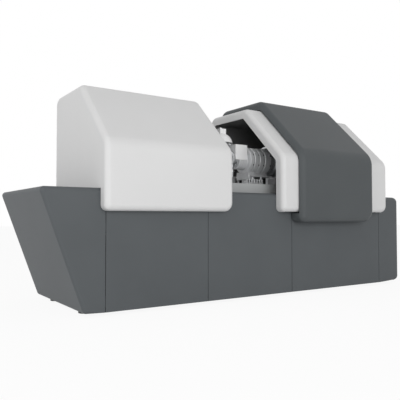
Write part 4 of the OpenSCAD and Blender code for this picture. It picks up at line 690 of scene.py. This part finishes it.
def addSocketScrew(bm, place, axis, radius, length):
    # a round head with a chamfer and a hexagon socket, made upright and then turned to its axis
    before = len(bm.verts)
    straight = socketScrew["straight"] * length
    bmesh.ops.create_cone(bm, cap_ends=True, segments=socketScrew["sides"], radius1=radius, radius2=radius,
                          depth=straight, matrix=Matrix.Translation((0.0, 0.0, straight / 2)))
    bm.verts.ensure_lookup_table()
    faces = {face for vert in bm.verts[before:] for face in vert.link_faces}
    top = max(faces, key=lambda face: face.calc_center_median().z)
    top = raiseFace(bm, top, length - straight)
    chamfer = socketScrew["chamfer"]
    bmesh.ops.scale(bm, vec=(chamfer, chamfer, 1.0), verts=top.verts)
    top = raiseFace(bm, top, 0.0)
    for vert in top.verts:
        turn = math.atan2(vert.co.y, vert.co.x)
        fromFlat = (turn + math.pi / 6) % (math.pi / 3) - math.pi / 6
        reach = socketScrew["socket"] * radius / math.cos(fromFlat)
        vert.co.x, vert.co.y = reach * math.cos(turn), reach * math.sin(turn)
    raiseFace(bm, top, (socketScrew["floor"] - 1) * length)
    axis = Vector(axis)
    side = axis.orthogonal().normalized()
    turned = Matrix((side, axis.cross(side), axis)).transposed().to_4x4()
    bm.verts.ensure_lookup_table()
    bmesh.ops.transform(bm, matrix=Matrix.Translation(place) @ turned, verts=bm.verts[before:])


lensBolts = {
    "radius": 0.0048,
    "length": 0.008,
    "depth": 0.0139,                            # of a pocket in a lens's rim
    "pitch": 0.1052,
    "count": 8,
    "grooves": (0.006, 0.001, 0.008, 0.001),    # behind the four lenses
}


def makeLensBolts():
    bm = bmesh.new()
    pitch, count = lensBolts["pitch"], lensBolts["count"]
    nextStarts = [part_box(node)[0].x for node in (*projectorLenses[1:], "detector_vessel")]
    for start, groove in zip(nextStarts, lensBolts["grooves"]):
        x = start - groove - lensBolts["depth"]
        for k in range(count):
            turn = (k + 0.5) * 2 * math.pi / count
            place = (x, beamLine[1] + pitch * math.sin(turn), beamLine[2] - pitch * math.cos(turn))
            addSocketScrew(bm, place, (1, 0, 0), lensBolts["radius"], lensBolts["length"])
    settle(meshObject("lensBolts", bm, "blackScrew"), "cabinet")


windowRing = {
    "inner": 0.033,
    "outer": 0.052,
    "thick": 0.005,
    "innerChamfer": 0.0015,
    "outerChamfer": 0.001,
    "steps": 96,
    "screws": 8,
    "pitch": 0.0445,
    "headRadius": 0.0036,
    "headLength": 0.0032,
}


def makeWindowRing():
    middle, face = boxMiddle("chamber_window"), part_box("chamber_window")[0].y
    inner, outer, thick = windowRing["inner"], windowRing["outer"], windowRing["thick"]
    cutIn, cutOut = windowRing["innerChamfer"], windowRing["outerChamfer"]
    profile = [(inner, 0.0), (inner, cutIn - thick), (inner + cutIn, -thick),
               (outer - cutOut, -thick), (outer, cutOut - thick), (outer, 0.0)]
    bm = bmesh.new()
    corners = [bm.verts.new((middle.x + reach, face + depth, middle.z)) for reach, depth in profile]
    edges = [bm.edges.new(pair) for pair in zip(corners, corners[1:] + corners[:1])]
    bmesh.ops.spin(bm, geom=corners + edges, cent=(middle.x, face, middle.z), axis=(0, 1, 0),
                   angle=2 * math.pi, steps=windowRing["steps"], use_merge=True)
    ring = meshObject("windowRing", bm, "turnedUpright")
    softenShading(ring)
    settle(ring, "cabinet")
    bm = bmesh.new()
    for i in range(windowRing["screws"]):
        turn = 2 * math.pi * (i + 0.5) / windowRing["screws"]
        place = (middle.x + windowRing["pitch"] * math.cos(turn), face - thick,
                 middle.z + windowRing["pitch"] * math.sin(turn))
        addSocketScrew(bm, place, (0, -1, 0), windowRing["headRadius"], windowRing["headLength"])
    settle(meshObject("windowScrews", bm, "steelScrew"), "cabinet")


panelScrews = {"inset": 0.030, "topInset": 0.066, "radius": 0.0075, "height": 0.0025}


def makePanelScrews():
    bm = bmesh.new()
    inset = panelScrews["inset"]
    for name in panels["rear"]:
        low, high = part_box(name)
        for x in (low.x + inset, (low.x + high.x) / 2, high.x - inset):
            for z in (low.z + inset, high.z - panelScrews["topInset"]):
                addSocketScrew(bm, (x, high.y, z), (0, 1, 0), panelScrews["radius"], panelScrews["height"])
    settle(meshObject("rearPanelScrews", bm, "blackScrew"), "cabinet")


jointSeals = {"inset": 0.006, "depth": 0.006, "top": 0.036, "bottom": 0.0005}


def makeJointSeals():
    # rubber strips in the upright joints between the covers and panels, front and rear
    bm = bmesh.new()
    inset, depth = jointSeals["inset"], jointSeals["depth"]
    for side, names in panels.items():
        row = ["prow_cover", *names, "tail_cover"]
        low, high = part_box(names[0])
        y0 = low.y + inset if side == "front" else high.y - inset - depth
        z0, z1 = low.z + jointSeals["bottom"], deckZ - jointSeals["top"]
        for before, after in zip(row, row[1:]):
            addBox(bm, (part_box(before)[1].x, y0, z0), (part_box(after)[0].x, y0 + depth, z1))
    settle(meshObject("jointSeals", bm, "rubber"), "cabinet")


makeLensBolts()
makeWindowRing()
makePanelScrews()
makeJointSeals()
print("screws, fittings and joint seals made")


# floor

def makeFloor():
    bm = bmesh.new()
    bmesh.ops.create_grid(bm, x_segments=1, y_segments=1, size=studio["floorHalf"])
    tree = finishes["studioFloor"].node_tree
    shader = next(n for n in tree.nodes if n.type == "BSDF_PRINCIPLED")
    output = next(n for n in tree.nodes if n.type == "OUTPUT_MATERIAL")
    pale = tree.nodes.new("ShaderNodeEmission")
    pale.inputs["Strength"].default_value = 1.0
    mix = tree.nodes.new("ShaderNodeMixShader")
    tree.links.new(addMath(tree, "MULTIPLY", seenRays(tree), studio["floorPale"]), mix.inputs[0])
    tree.links.new(shader.outputs[0], mix.inputs[1])
    tree.links.new(pale.outputs[0], mix.inputs[2])
    tree.links.new(mix.outputs[0], output.inputs["Surface"])
    meshObject("studioFloor", bm, "studioFloor")


makeFloor()

print("scene done")
